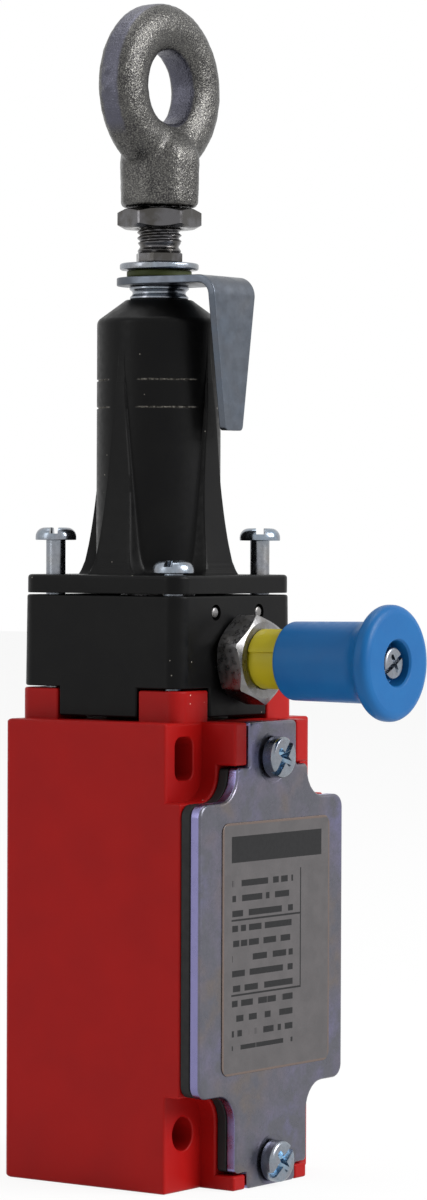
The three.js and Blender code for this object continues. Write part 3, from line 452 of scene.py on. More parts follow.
def satin_black():
    """Black stove enamel on zinc castings: satin, nearly black, with grains of dust, and worn off in the
    scored marks, where the attribute scored is one."""
    material, tree, shader, place = blank("satin_black_enamel")
    cloud = noise(tree, place, 7, start=0.0, end=1.0)
    base = mixed(tree, cloud, "080809", "0c0c0c")
    dust = specks(tree, place, 1.6, 0.14, 0.16)
    dusty = mixed(tree, dust, base, "9a958c")
    worn = add(tree, "Attribute", attribute_name="scored").outputs["Fac"]
    broken = noise(tree, place, 0.5, 3, 0.42, 0.6, start=0.15, end=1.0)
    mark = add(tree, "Math", {0: worn, 1: broken}, operation="MULTIPLY").outputs[0]
    tree.links.new(mixed(tree, mark, dusty, "a39f97"), shader.inputs["Base Color"])
    tree.links.new(noise(tree, place, 1.1, start=0.34, end=0.44), shader.inputs["Roughness"])
    shader.inputs["Specular IOR Level"].default_value = 0.1
    bumped(tree, shader, noise(tree, place, 0.6, 3, 0.2, 0.8), 0.008)
    return material


def passivated_zinc(name, base, lilac, straw, rough=0.3):
    """Electroplated zinc with a clear passivation: metal grey with lilac and straw-coloured interference
    tints, and plain lilac where the attribute side is one: the passivation's own tint on cut edges, and in
    screw recesses a painted reflection that keeps them pale and bright where they would lie in shade."""
    material, tree, shader, place = blank(name)
    broad = noise(tree, place, 14, 3, 0.38, 0.62)
    fine = noise(tree, place, 3.5, 4, 0.4, 0.65)
    tint = mixed(tree, broad, lilac, straw)
    faded = add(tree, "Math", {0: fine, 1: 0.55}, operation="MULTIPLY").outputs[0]
    grain = noise(tree, place, 0.45, 2, 0.3, 0.7, start=0.0, end=0.25)
    worn = mixed(tree, faded, base, tint)
    side = add(tree, "Attribute", attribute_name="side").outputs["Fac"]
    face = mixed(tree, grain, worn, "4b4d54")
    tree.links.new(mixed(tree, side, face, lilac), shader.inputs["Base Color"])
    shader.inputs["Metallic"].default_value = 1.0
    tree.links.new(noise(tree, place, 2.0, 4, start=rough - 0.06, end=rough + 0.1), shader.inputs["Roughness"])
    bumped(tree, shader, noise(tree, place, 0.35, 2, 0.2, 0.8), 0.002)
    return material


def galvanised_forging():
    """Hot-dip galvanised drop forging: dull dark grey zinc with fine bright grains and a rough skin, and
    plainer bluish bands where the attribute band is one, on the flattened rim and in the eye."""
    material, tree, shader, place = blank("galvanised_forging")
    grains = noise(tree, place, 0.22, 2, 0.42, 0.66)
    broad = noise(tree, place, 5, 3, 0.4, 0.6)
    dark = mixed(tree, broad, "363536", "434242")
    grained = mixed(tree, grains, dark, "6c6b67")
    band = add(tree, "Attribute", attribute_name="band").outputs["Fac"]
    tree.links.new(mixed(tree, band, grained, "54545e"), shader.inputs["Base Color"])
    shader.inputs["Metallic"].default_value = 1.0
    tree.links.new(noise(tree, place, 0.6, 3, start=0.26, end=0.42), shader.inputs["Roughness"])
    bumped(tree, shader, noise(tree, place, 0.32, 3, 0.25, 0.75), 0.09, 0.8)
    return material


def turned_steel(name, base, stain, rough=0.28):
    """Machined steel: bright grey with fine tool lines round the axis and slight stains."""
    material, tree, shader, place = blank(name)
    stains = noise(tree, place, 2.5, 3, 0.42, 0.62)
    tree.links.new(mixed(tree, stains, base, stain), shader.inputs["Base Color"])
    shader.inputs["Metallic"].default_value = 1.0
    tree.links.new(noise(tree, place, 0.8, 3, start=rough - 0.05, end=rough + 0.1), shader.inputs["Roughness"])
    bumped(tree, shader, noise(tree, place, 0.25, 2, 0.2, 0.8), 0.002)
    return material


def moulded(name, base, shade, rough=0.4, grain=0.5, specular=0.3):
    """Injection-moulded plastic or rubber: even colour, slightly cloudy, with the mould's fine grain."""
    material, tree, shader, place = blank(name)
    cloud = noise(tree, place, 5, 3, 0.35, 0.65, start=0.0, end=0.5)
    tree.links.new(mixed(tree, cloud, base, shade), shader.inputs["Base Color"])
    tree.links.new(noise(tree, place, 1.2, 3, start=rough - 0.04, end=rough + 0.06), shader.inputs["Roughness"])
    shader.inputs["Specular IOR Level"].default_value = specular
    bumped(tree, shader, noise(tree, place, grain, 2, 0.2, 0.8), 0.01)
    return material


def printed_foil():
    """Anodised aluminium foil with a printed frame, a blank dark band, ruled lines and rows of plain bars of
    varying length that stand for nothing: dull grey, dark ink."""
    material, tree, shader, place = blank("printed_foil")
    split = add(tree, "SeparateXYZ", {0: place})
    left, right, bottom, top = plate_box
    border, margin = 0.4, 2.4
    column = right - 8.5
    rule = 0.3
    rule_heights = (bottom + 12.65, bottom + 24.65)
    band_low, band_high = top - 6.4, top - 2.2
    row_pitch, row_share = 2.4, 0.42

    def within(output, low, high, shift=0.0):
        """One where a coordinate lies between two places in millimetres, zero outside."""
        middle, reach = ((low + high) / 2 - shift) * 0.001, (high - low) / 2 * 0.001
        offset = add(tree, "Math", {0: split.outputs[output], 1: middle}, operation="SUBTRACT").outputs[0]
        away = add(tree, "Math", {0: offset}, operation="ABSOLUTE").outputs[0]
        return add(tree, "Math", {0: away, 1: reach}, operation="LESS_THAN").outputs[0]

    def both(first, second):
        return add(tree, "Math", {0: first, 1: second}, operation="MULTIPLY").outputs[0]

    def bar(x0, x1, z0, z1):
        """One where the point lies in this upright box, zero outside."""
        return both(within("X", x0, x1), within("Z", z0, z1, origin_height))

    def either(first, second):
        return add(tree, "Math", {0: first, 1: second}, operation="MAXIMUM").outputs[0]

    inner = bar(left + border, right - border, bottom + border, top - border)
    frame_line = add(tree, "Math", {0: 1.0, 1: inner}, operation="SUBTRACT").outputs[0]
    ink = bar(left + margin, right - margin, band_low, band_high)
    for z in rule_heights:
        ink = either(ink, bar(left + margin, column, z, z + rule))
    ink = either(ink, bar(column, column + rule, rule_heights[0], top - 8.2))
    row = add(tree, "Math", {0: split.outputs["Z"], 1: row_pitch * 0.001}, operation="DIVIDE").outputs[0]
    number = add(tree, "Math", {0: row}, operation="FLOOR").outputs[0]
    height = add(tree, "Math", {0: row, 1: number}, operation="SUBTRACT").outputs[0]
    line = add(tree, "Math", {0: height, 1: row_share}, operation="LESS_THAN").outputs[0]
    shifted = add(tree, "CombineXYZ", {"X": split.outputs["X"], "Y": number}).outputs[0]
    dashes = noise(tree, shifted, 2.2, 0.0, 0.43, 0.45)
    block = bar(left + 2.6, right - 10.5, bottom + 4, top - 9)
    ink = either(ink, both(both(block, line), dashes))
    cloud = noise(tree, place, 3, 3, start=0.0, end=0.6)
    foil = mixed(tree, cloud, "646162", "595758")
    framed = mixed(tree, frame_line, foil, "6f625c")
    tree.links.new(mixed(tree, ink, framed, "141416"), shader.inputs["Base Color"])
    metal = add(tree, "MapRange", {"Value": ink, "To Min": 0.85, "To Max": 0.0}).outputs["Result"]
    tree.links.new(metal, shader.inputs["Metallic"])
    tree.links.new(noise(tree, place, 0.8, 3, start=0.38, end=0.5), shader.inputs["Roughness"])
    shader.inputs["Specular IOR Level"].default_value = 0.2
    bumped(tree, shader, noise(tree, place, 0.3, 2, 0.2, 0.8), 0.002)
    return material


red = powder_coat_red()
black = satin_black()
rubber = moulded("nitrile_rubber", "0e0f10", "151616", 0.6, 0.3)
zinc = passivated_zinc("passivated_zinc", "65656d", "7a779f", "776c63")
sheet_zinc = passivated_zinc("passivated_sheet", "595e66", "53606f", "606368", 0.36)
# Its pale blue 8fb0c9 also paints a reflection into the cover screws' recesses, which would otherwise lie in
# shade.
screw_zinc = passivated_zinc("blue_zinc", "8b8e95", "8fb0c9", "8d8880", 0.24)
foil = printed_foil()
bare = turned_steel("turned_steel", "828182", "767472", 0.3)
bright = turned_steel("bright_steel", "5f5e60", "4c4a48", 0.22)
spring_wire = turned_steel("spring_wire", "7f8285", "6b6762", 0.25)
forged = galvanised_forging()
brass = turned_steel("brass_strip", "c2a05a", "a8803f", 0.3)
phenolic = moulded("phenolic_moulding", "1c1b1a", "262422", 0.5)
ivory = moulded("polyamide_moulding", "d6d1c0", "c8c2ae", 0.45)
yellow = moulded("yellow_acetal", "aea01a", "9f9217", 0.42, 0.8)
blue = moulded("blue_abs", "125790", "145e97", 0.38, 0.8, 0.18)
green = moulded("olive_fibre", "3a4218", "2c3312", 0.6, 0.3)


# Housing and its front

def cover_corners():
    """The cover's corners, anticlockwise: a wide middle, two necks and two narrow ears."""
    wide = housing_width / 2
    neck = neck_half_width - slip
    lip = lip_height + slip
    lug = housing_height - lug_drop - slip
    right = [
        (ear_half_width, 0, 0.8), (ear_half_width, lip, 0.5), (neck, lip, 0.9),
        (neck, lower_ledge, neck_fillet), (wide, lower_ledge, cover_corner),
        (wide, upper_ledge, cover_corner), (neck, upper_ledge, neck_fillet), (neck, lug, 0.9),
        (ear_half_width, lug, 0.5), (ear_half_width, housing_height, 0.8),
    ]
    return right + [(-u, v, r) for u, v, r in reversed(right)]


def housing():
    """Upright block, slabbed from its back to the ledge, with the raised middle, the lugs and lips beside the
    cover's ears and the four corner tabs joined to it, and its room, entry and holes cut from it."""
    half = housing_width / 2
    side = rectangle(-half, half, 0, housing_height, 0.5)
    body = slab(lambda inset: outline(side, inset), edged(0, ledge_depth, 1.3, 0.45))
    neck = neck_half_width
    low, high, wide = 0.1, housing_height - 0.1, half - 0.02
    right = [
        (neck, low, 0.4), (neck, lower_ledge, neck_fillet), (wide, lower_ledge, 0.4),
        (wide, upper_ledge, 0.4), (neck, upper_ledge, neck_fillet), (neck, high, 0.4),
    ]
    step = [(-neck, low, 0.4)] + right + [(-u, v, r) for u, v, r in right[:0:-1]]
    step_root, lug_root, tab_root = 20, 30, 70
    parts = [slab(lambda inset: outline(step, inset), edged(step_root, housing_depth, sharp, 0.35))]
    ear = ear_half_width + slip
    for sign in (-1, 1):
        x0, x1 = sorted((sign * ear, sign * neck))
        for z0, z1 in ((housing_height - lug_drop, housing_height), (0, lip_height)):
            corners = rectangle(x0, x1, z0, z1, 0.4)
            profile = edged(lug_root, lug_front, sharp, 0.4)
            parts.append(slab(lambda inset, c=corners: outline(c, inset), profile))
    for sx in (-1, 1):
        for sy in (-1, 1):
            inner, outer = tab_inset, head_half
            x0, x1 = sorted((sx * inner, sx * outer))
            y0, y1 = sorted((-axis_depth + sy * inner, -axis_depth + sy * outer))
            outer_corner = (sx * outer, -axis_depth + sy * outer)
            corners = [(u, v, tab_corner if (u, v) == outer_corner else r)
                       for u, v, r in rectangle(x0, x1, y0, y1, 0.4)]
            profile = edged(tab_root, head_bottom - slip, sharp, 0.35)
            parts.append(slab(lambda inset, c=corners: outline(c, inset), profile, upright=True))
    inner = half - wall
    thread_depth = 7
    cuts = [
        box(-inner, inner, -housing_depth - beyond, -back_wall, lower_ledge + wall, upper_ledge - wall),
        post(conduit_radius, -beyond, lower_ledge + wall + 0.5, 0, -axis_depth, 64),
        post(plunger_hole, upper_ledge - wall - 0.5, housing_height + beyond, 0, -axis_depth),
    ]
    cuts += [rod(thread_hole, housing_depth - thread_depth, housing_depth + beyond, 0, z, 24)
             for z in cover_screw_heights]
    for x in (-hole_x, hole_x):
        cuts.append(through(lambda inset, x=x: circle(x, hole_height, hole_radius - inset),
                            0, ledge_depth, 0.3))
        wide, tall = slot_radius - 0.2, slot_radius + slot_reach
        slot = rectangle(x - wide, x + wide, slot_height - tall, slot_height + tall, 1.5)
        cuts.append(through(lambda inset, slot=slot: outline(slot, inset), 0, ledge_depth, 0.25))
    cuts += screw_holes(thread_hole, 73, 90)
    piece("housing_casting", carved(body, parts, cuts), red, "switch_body", ["housing"])


def front():
    """Cover and gasket, both slabs of the cover's outline, and the thin plate that is stuck to the cover. The
    cover is dished under its two screws."""
    corners = cover_corners()
    sheet = slab(lambda inset: outline(corners, inset, 7), edged(cover_back, cover_front, 0.3, 0.5))
    discs = []
    dish, dish_round = cover_front - 0.3, 1.2
    bowl = [(0, dish, 0), (2.6, dish, dish_round), (5.0, cover_front + 0.02, dish_round),
            (5.0, cover_front + 2, 0), (0, cover_front + 2, 0)]
    for z in cover_screw_heights:
        discs.append(turned(outline(bowl, 0, 8), 64, 0, 0, z, to_front=True))
        discs.append(rod(screw_hole, cover_back - 1, cover_front + 1, 0, z, 32))
    thing = piece("cover_plate", carved(sheet, [], discs), zinc, "switch_body", ["front_cover"])
    forward = -placed(thing)[:, 1]
    record(thing, "side", (dish - forward) / 0.2)

    window = rectangle(*gasket_window, 1.5)
    sheet = slab(lambda inset: outline(corners, inset + 0.12),
                 edged(housing_depth + seat, gasket_front, 0.25, 0.25))
    cuts = [slab(lambda inset: outline(window, inset), [(0, housing_depth - 1), (0, gasket_front + 1)])]
    gasket_hole = 2.0
    cuts += [rod(gasket_hole, housing_depth - 1, gasket_front + 1, 0, z, 24) for z in cover_screw_heights]
    piece("gasket_sheet", carved(sheet, [], cuts), rubber, "switch_body", ["cover_gasket"])

    plate = rectangle(*plate_box, plate_corner)
    back = cover_front + 0.02
    sheet = slab(lambda inset: outline(plate, inset), edged(back, back + plate_thickness, sharp, 0.1))
    piece("plate_sheet", sheet, foil, "switch_body", ["rating_plate"])


# Screws and nuts

def pan_screw(head, height, stem, length, edge, slot):
    """Cheese head on a shank, with a slot right across it and a deeper cross whose arms slope down to the
    middle."""
    section = to_axis([(0, -length, 0), (stem * 0.75, -length, 0.1), (stem, -length + 0.8, 0.1),
                       (stem, 0, 0.05), (head, 0, 0.15), (head, height - 0.1, edge), (0, height, 0)], 6)
    body = turned(section, 56)
    arm = [(-head * 0.25, height * 0.1, 0), (head * 0.25, height * 0.1, 0), (head * 0.74, height + 0.4, 0),
           (-head * 0.74, height + 0.4, 0)]
    wedge = slab(lambda inset: outline(arm, inset, 1), [(0.25, -slot * 1.1), (0, 0), (0.25, slot * 1.1)])
    across = box(-head - 1, head + 1, -slot, slot, height * 0.5, height + 1)
    return carved(body, [], [across, wedge, moved(wedge, turn=90)])


def hex_nut(flats, low, high, bore, turn):
    """Hexagon whose radius at angle a is half the flats over cos of the angle from the nearest flat; beyond a
    circle just inside the flats both faces fall away on a cone, which scallops the edges."""
    angle = 2 * np.pi * np.arange(288) / 288
    from_flat = np.mod(angle - math.radians(turn), np.pi / 3) - np.pi / 6
    rim = flats / 2 / np.cos(from_flat)
    rim = np.minimum(rim, flats / math.sqrt(3) - 0.12)
    inside = flats / 2 * 0.955
    slope, land = 0.55, 0.05
    drop = (rim - inside) * slope
    levels = [
        (bore, low + 0.4), (bore + 0.4, low), (inside - 0.1, low), (inside, low), (rim, low + drop),
        (rim, low + drop + land), (rim, high - drop - land), (rim, high - drop), (inside, high),
        (inside - 0.1, high), (bore + 0.4, high), (bore, high - 0.4),
    ]
    rings = np.array([around(radius, angle, height) for radius, height in levels])
    return outward(rings.reshape(-1, 3), skin(rings, ends_meet=True))


def screws():
    """Two screws in the cover and four in the bell's flange, of which two stand raised."""
    front_screw = pan_screw(head=3.35, height=2.3, stem=1.6, length=9.5, edge=0.6, slot=0.55)
    for name, z, turn in (("lower", cover_screw_heights[0], 38), ("upper", cover_screw_heights[1], 52)):
        shell = moved(front_screw, 0, -cover_front - seat, z, turn, True)
        thing = piece(f"front_screw_{name}", shell, screw_zinc, "switch_body",
                      [f"cover_screw_{name}"])
        place = placed(thing) + (0, cover_front + seat, -z)
        # The attribute side paints the cross and slot recesses pale blue: a painted reflection that lights up
        # the recesses.
        deep = (2.2 + place[:, 1]) / 0.5
        record(thing, "side", deep * (np.hypot(place[:, 0], place[:, 2]) < 3) * (place[:, 1] < -0.05))
    top_screw = pan_screw(head=3.35, height=2.1, stem=1.6, length=25, edge=1.5, slot=0.7)
    places = ((-1, -1, 0, 20), (1, -1, 1, 37), (1, 1, 0, 75), (-1, 1, 1, 30))
    for i, (sx, sy, raised, turn) in enumerate(places):
        shell = moved(top_screw, sx * head_screw_offset, -axis_depth + sy * head_screw_offset,
                      flange_top + slip + raised * head_screw_raise, turn)
        piece(f"top_screw_{i + 1}", shell, screw_zinc, "switch_body", [f"head_screw_{i + 1}"])


# Head and bell

def head():
    """Rounded square block, which narrows upwards by a slight draft, with a cross-shaped foot between the
    housing's tabs, and its room and holes cut from it."""
    corners = plan(head_half, head_half, head_corner)
    draft = 0.012
    profile = edged(head_bottom, head_top, 0.3, 0.35)
    profile[:, 0] += draft * np.maximum(0, profile[:, 1] - head_bottom)
    body = slab(lambda inset: outline(corners, inset, 10), profile, upright=True)
    inset = tab_inset - slip
    low = housing_height + 0.6
    arms = []
    for wide, deep in ((inset, head_half), (head_half, inset)):
        arm = plan(wide, deep, 0.4)
        profile = edged(low, head_bottom + 2, 0.3, sharp)
        arms.append(slab(lambda inset, c=arm: outline(c, inset), profile, upright=True))
    floor_bottom, floor_top = 79.8, 82.3
    upper_room, lower_room, boss = 13, 12.4, 9
    sleeve_hole, pin_hole, plunger_guide = 4.4, 1.3, 2.3
    below, above, ahead = 70, 100, 40
    cuts = [post(upper_room, floor_top, above, 0, -axis_depth, 64),
            post(lower_room, below, floor_bottom, 0, -axis_depth, 64),
            rod(sleeve_hole, 27, ahead, 0, reset_height, 40)]
    cuts += [rod(pin_hole, 24, ahead, sign * guide_pin_x, guide_pin_height, 24) for sign in (-1, 1)]
    cuts += screw_holes(screw_hole, below, above)
    cuts.append(post(plunger_guide, below, 90, 0, -axis_depth, 24))
    core = post(boss, housing_height + 1.7, floor_bottom + 0.7, 0, -axis_depth, 48)
    shell = carved(carved(body, arms, cuts[:2]), [core], cuts[2:])
    piece("head_casting", shell, black, "switch_body", ["head_body"])


def off_ribs(from_rib):
    """One on the bell's round faces and zero on the ribs, by the angle from the nearest rib's middle."""
    return np.clip((from_rib - math.radians(16)) / math.radians(4), 0, 1)


def scored(height, half_width):
    """Sum of bell curves about the heights of the two scored marks."""
    return sum(np.exp(-((height - z) / half_width) ** 2) for z in mark_heights)


def bell():
    """Closed skin over angle and height. The radius is the smooth maximum of the round bell and of four ribs;
    a rib's radius at angle p from its middle is the smooth minimum of its half width over sin p and its reach
    over cos p. The columns crowd at the ribs' walls. The inside is a plain bore."""
    heights = np.unique(np.round(np.concatenate([
        np.arange(flange_bottom + 0.5, bell_roof, 0.32), np.linspace(flange_top, flange_top + 2, 16),
        *[mark + np.linspace(-0.45, 0.45, 13) for mark in mark_heights],
    ]), 3))
    heights = heights[heights <= bell_roof - 0.1]
    reach_points = np.array([(13.0, flange_top), (12.5, 100.9), (12.1, 102.9), (11.8, 105), (11.55, 107),
                             (11.35, 109), (11.18, 111), (11.0, 113.5), (10.9, 117), (10.82, 122),
                             (10.6, 127.5), (10.0, 132), (9.0, bell_roof)])
    reach = np.interp(heights, reach_points[:, 1], reach_points[:, 0])
    levels = 13
    reach = np.convolve(np.pad(reach, levels // 2, "edge"), np.ones(levels) / levels, "valid")
    above = np.maximum(heights - flange_top, 0)
    foot, foot_height = 1.1, 1.3
    half_width = np.interp(heights, (flange_top, 103.3, 127.2, bell_roof), (3.7, 3.25, 1.0, 0.3))
    half_width = half_width + foot * np.exp(-above / foot_height)
    fillet = 1.5
    drop = np.clip(flange_top + fillet - heights, 0, fillet)
    plain = bell_radius + fillet - np.sqrt(fillet ** 2 - drop ** 2)
    inner = np.arcsin(half_width / (reach + 1.2))
    outer = np.arcsin(np.minimum((half_width + 1.3) / (bell_radius - 0.2), 0.66))
    a = np.linspace(0, 1, 7)[None, :-1]
    b = np.linspace(0, 1, 23)[None, :-1]
    c = np.linspace(0, 1, 11)[None, :]
    half = np.concatenate([inner[:, None] * a, inner[:, None] + (outer - inner)[:, None] * b,
                           outer[:, None] + (np.pi / 4 - outer)[:, None] * c], 1)
    span = np.concatenate([half, np.pi / 2 - half[:, ::-1][:, 1:-1]], 1)
    from_rib = np.minimum(span, np.pi / 2 - span)
    soft = 0.16
    side = half_width[:, None] / np.maximum(np.sin(from_rib), 1e-3)
    top = reach[:, None] / np.cos(from_rib)
    rib = -soft * np.logaddexp(-side / soft, -top / soft)
    lump = 0.3
    radius = lump * np.logaddexp(rib / lump, plain[:, None] / lump)
    mark_depth, mark_half_width = 0.28, 0.13
    radius = radius - mark_depth * (scored(heights, mark_half_width)[:, None] * off_ribs(from_rib))
    radius = np.tile(radius, (1, 4))
    angle = np.concatenate([span + quarter_turn * np.pi / 2 for quarter_turn in range(4)], 1)
    ribbed = around(radius, angle, heights[:, None])
    hole, skirt, skirt_hole, steps = spindle_radius + slip, 95.7, 9.2, 6
    section = outline([(bell_radius, bell_roof - 0.05, 0), (bell_radius, bell_shoulder + 0.1, 1.3),
                       (5.5, bell_top - 0.05, 0.35), (5.1, bell_top, 0.05), (hole, bell_top, 0.1),
                       (hole, bell_roof, 0), (bell_bore, bell_roof, 0.3), (bell_bore, skirt, 0),
                       (9.9, skirt, 0)], 0, steps)
    # The ribbed skin stands in for the first corner's points.
    section = section[steps + 1:]
    rings = np.concatenate([ribbed, around(section[:, :1], angle[-1], section[:, 1:])], 0)
    points, faces = outward(rings.reshape(-1, 3), skin(rings, ends_meet=True))
    shell = points + (0, -axis_depth, 0), faces
    square = plan(flange_half, flange_half, head_corner)
    profile = edged(flange_bottom, flange_top, 0.15, 0.55)
    flange = slab(lambda inset: outline(square, inset, 10), profile, upright=True)
    below, above = 90, 100
    holes = [post(skirt_hole, below, above, 0, -axis_depth, 64)] + screw_holes(screw_hole, below, above)
    flange = carved(flange, [], holes)
    thing = piece("bell_casting", carved(shell, [flange]), black, "switch_body", ["bell_housing"])
    place = placed(thing) + (0, axis_depth, 0)
    turn = np.mod(np.arctan2(place[:, 1], place[:, 0]), np.pi / 2)
    record(thing, "scored", scored(place[:, 2], 0.1) * off_ribs(np.minimum(turn, np.pi / 2 - turn)))


# Reset control

def reset_control():
    """Hexagonal nut, sleeve with a raised sector, knob, its screw and the two guide pins above, all but the
    nut and the sector turned about axes that run to the front."""
    nut = hex_nut(13, 0, nut_front - nut_back, bore=4.4, turn=100)
    nut = moved(nut, 0, -nut_back, reset_height, 0, True)
    piece("sleeve_nut", nut, bare, "switch_body", ["reset_nut"], crease=20)

    step = nut_front + seat
    end = step + 12.6
    bore, shank, wide_bore = 2.1, 4.3, 3.4
    root, bore_end = 28.9, 34.7
    section = [(bore, root, 0), (shank, root, 0.2), (shank, step, 0), (sleeve_radius, step, 0.15),
               (sleeve_radius, end, 0.2), (wide_bore, end, 0.1), (wide_bore, bore_end, 0), (bore, bore_end, 0)]
    body = turned(outline(section, 0, 4), 64, 0, 0, reset_height, to_front=True)
    start, stop = math.radians(65), math.radians(163)
    arc = np.linspace(start, stop, 30)
    proud, rooted = sleeve_radius + 0.42, 3.9
    sector = np.vstack([np.column_stack([np.cos(arc), np.sin(arc)]) * proud,
                        np.column_stack([np.cos(arc[::-1]), np.sin(arc[::-1])]) * rooted])
    ramp = slab(lambda inset: sector * (1 - inset / proud) + (0, reset_height),
                [(0, step + 0.02), (0, end - 4)])
    piece("sleeve_moulding", carved(body, [ramp]), yellow, "switch_body", ["yellow_sleeve"])

    back, front_face, seat_depth = knob_back, knob_front, recess_floor - 1.8
    hollow_end = recess_floor - 4.3
    recess, hollow, shaft, spigot = 3.65, 5.35, 1.25, 1.9
    section = [
        (hollow, back, 0.2), (6.36, back, 0.55), (6.55, front_face - 4.9, 3.2),
        (knob_radius, front_face - 2.3, 1.1), (knob_radius, front_face - 0.35, 1.3), (7.9, front_face, 1.2),
        (3.95, front_face, 0.3), (recess, front_face - 0.35, 0.1),
        (recess, recess_floor, 0.15), (shaft, recess_floor, 0.1), (shaft, seat_depth, 0),
        (spigot, seat_depth, 0), (spigot, hollow_end, 0), (hollow, hollow_end, 0.2),
    ]
    knob = turned(outline(section, 0, 8), 96, 0, 0, reset_height, to_front=True)
    piece("knob_moulding", knob, blue, "reset_unit", ["reset_knob"], crease=40)
    screw = pan_screw(head=2.6, height=2.35, stem=1.0, length=6.5, edge=0.45, slot=0.35)
    screw = moved(screw, 0, -recess_floor - seat, reset_height, 30, True)
    piece("knob_fixing", screw, screw_zinc, "reset_unit", ["knob_screw"])
    pin_radius, pin_length = 0.9, 4
    tip = axis_depth + head_half - 0.25
    section = to_axis([(0, tip - pin_length, 0), (pin_radius, tip - pin_length, 0.1), (pin_radius, tip, 0.35),
                       (0, tip + 0.1, 0)], 5)
    for name, x in (("left", -guide_pin_x), ("right", guide_pin_x)):
        pin = turned(section, 24, x, 0, guide_pin_height, to_front=True)
        piece(f"pin_{name}", pin, bare, "switch_body", [f"guide_pin_{name}"])


# Spindle and what it carries

def collar(name, outer, bottom, top, edge, material, node):
    """Flat ring on the spindle, turned from a rectangle with rounded corners."""
    section = outline([(ring_bore, bottom, 0.1), (outer, bottom, edge), (outer, top, edge),
                       (ring_bore, top, 0.1)], 0, 5)
    piece(name, turned(section, 72, 0, -axis_depth, 0), material, "spindle_unit", [node])


def pointer():
    """Bent strip: a rounded rectangle of half width w(s) and the sheet's thickness is carried along a line
    that runs forward over the spindle, turns down on an arc and ends at the tip. w is a semicircle behind
    the spindle, narrows to the bend and tapers evenly to the tip."""
    thick = pointer_thickness
    bend = 2 + thick / 2
    flat_end = pointer_reach - thick / 2 - bend
    level = pointer_bottom + thick / 2
    arc_length = bend * np.pi / 2
    drop = level - bend - pointer_tip
    round_radius, bend_half, tip_half, tip_round = 7.0, 5.7, 2.4, 0.7
    swing = np.linspace(0, np.pi / 2, 24)
    s = np.unique(np.concatenate([
        -round_radius * np.cos(swing), np.linspace(0, flat_end, 14),
        flat_end + np.linspace(0, arc_length, 16),
        flat_end + arc_length + np.linspace(0, drop - tip_round, 24),
        flat_end + arc_length + drop - tip_round + tip_round * np.sin(np.linspace(0, np.pi / 2, 8)),
    ]).round(6))
    total = flat_end + arc_length + drop
    turn_start = 1.3
    start_width = math.sqrt(round_radius ** 2 - turn_start ** 2)
    tapered = np.interp(s, (turn_start, flat_end, flat_end + arc_length, total),
                        (start_width, bend_half + 0.15, bend_half, tip_half))
    width = np.where(s < turn_start, np.sqrt(np.maximum(round_radius ** 2 - s ** 2, 1e-6)), tapered)
    near = np.clip(s - (total - tip_round), 0, tip_round)
    width = width - tip_round + np.sqrt(tip_round ** 2 - near ** 2)
    angle = np.clip((s - flat_end) / bend, 0, np.pi / 2)
    forward = np.minimum(s, flat_end) + bend * np.sin(angle)
    down = bend * (1 - np.cos(angle)) + np.maximum(s - flat_end - arc_length, 0)
    edge, half = 0.22, 10
    q = outline(rectangle(-half, half, -thick / 2, thick / 2, edge), 0, 5)
    overhang = np.abs(q[:, 0]) - half
    across = np.sign(q[:, 0]) * np.maximum(width[:, None] + overhang, 0.0)
    lift = np.repeat(q[:, 1][None, :], len(s), 0)
    centre = np.stack([np.zeros_like(s), -axis_depth - forward, level - down], -1)
    normal = np.stack([np.zeros_like(s), -np.sin(angle), np.cos(angle)], -1)
    rings = centre[:, None, :] + lift[..., None] * normal[:, None, :]
    rings[..., 0] += across
    count = rings.shape[1]
    faces = skin(rings)
    faces.append(list(range(count))[::-1])
    faces.append([(len(s) - 1) * count + i for i in range(count)])
    shell = outward(rings.reshape(-1, 3), faces)
    shell = carved(shell, [], [post(ring_bore, pointer_bottom - 1, pointer_bottom + 3, 0, -axis_depth, 48)])
    piece("pointer_sheet", shell, sheet_zinc, "spindle_unit", ["tension_pointer"])


def spindle():
    """Skin over angle and height. On the threaded length the radius falls by a triangle wave of the height in
    pitches less the angle in turns; the collar below it is an octagon and the shank is plain."""
    pitch, depth = 0.95, 0.42
    groove, groove_bottom, groove_top = 3.15, 109.0, 109.9
    half_flats, edge = 3.6, 0.3
    angle = 2 * np.pi * np.arange(96) / 96
    octagon = half_flats / np.cos(np.mod(angle + np.pi / 8, np.pi / 4) - np.pi / 8)
    z = np.concatenate([np.linspace(collar_top + 0.25, collar_top + 1.5, 14),
                        np.arange(collar_top + 1.6, spindle_top - 0.4, 0.08)])
    waist = spindle_radius - 0.45 * np.exp(-((z - collar_top - 0.95) / 0.5) ** 2)
    phase = (z[:, None] / pitch - angle[None, :] / (2 * np.pi)) % 1
    start = np.clip((z - collar_top - 1.5) / 0.3, 0, 1)[:, None]
    threaded = waist[:, None] - depth * start * np.clip(np.abs(2 * phase - 1) * 1.5 - 0.25, 0, 1)
    levels = [
        (0.0, spindle_bottom), (3.25, spindle_bottom), (spindle_radius, spindle_bottom + 0.4),
        (spindle_radius, groove_bottom), (groove, groove_bottom), (groove, groove_top),
        (spindle_radius, groove_top), (spindle_radius, collar_bottom), (octagon - edge, collar_bottom),
        (octagon, collar_bottom + 0.2), (octagon, collar_top - 0.2), (octagon - edge, collar_top),
        *zip(threaded, z), (3.1, spindle_top), (0.0, spindle_top),
    ]
    rings = np.array([around(radius, angle, height) for radius, height in levels])
    points, faces = outward(rings.reshape(-1, 3), skin(rings, ends_meet=True))
    shell = points + (0, -axis_depth, 0), faces
    piece("spindle_rod", shell, bright, "spindle_unit", ["spindle"])


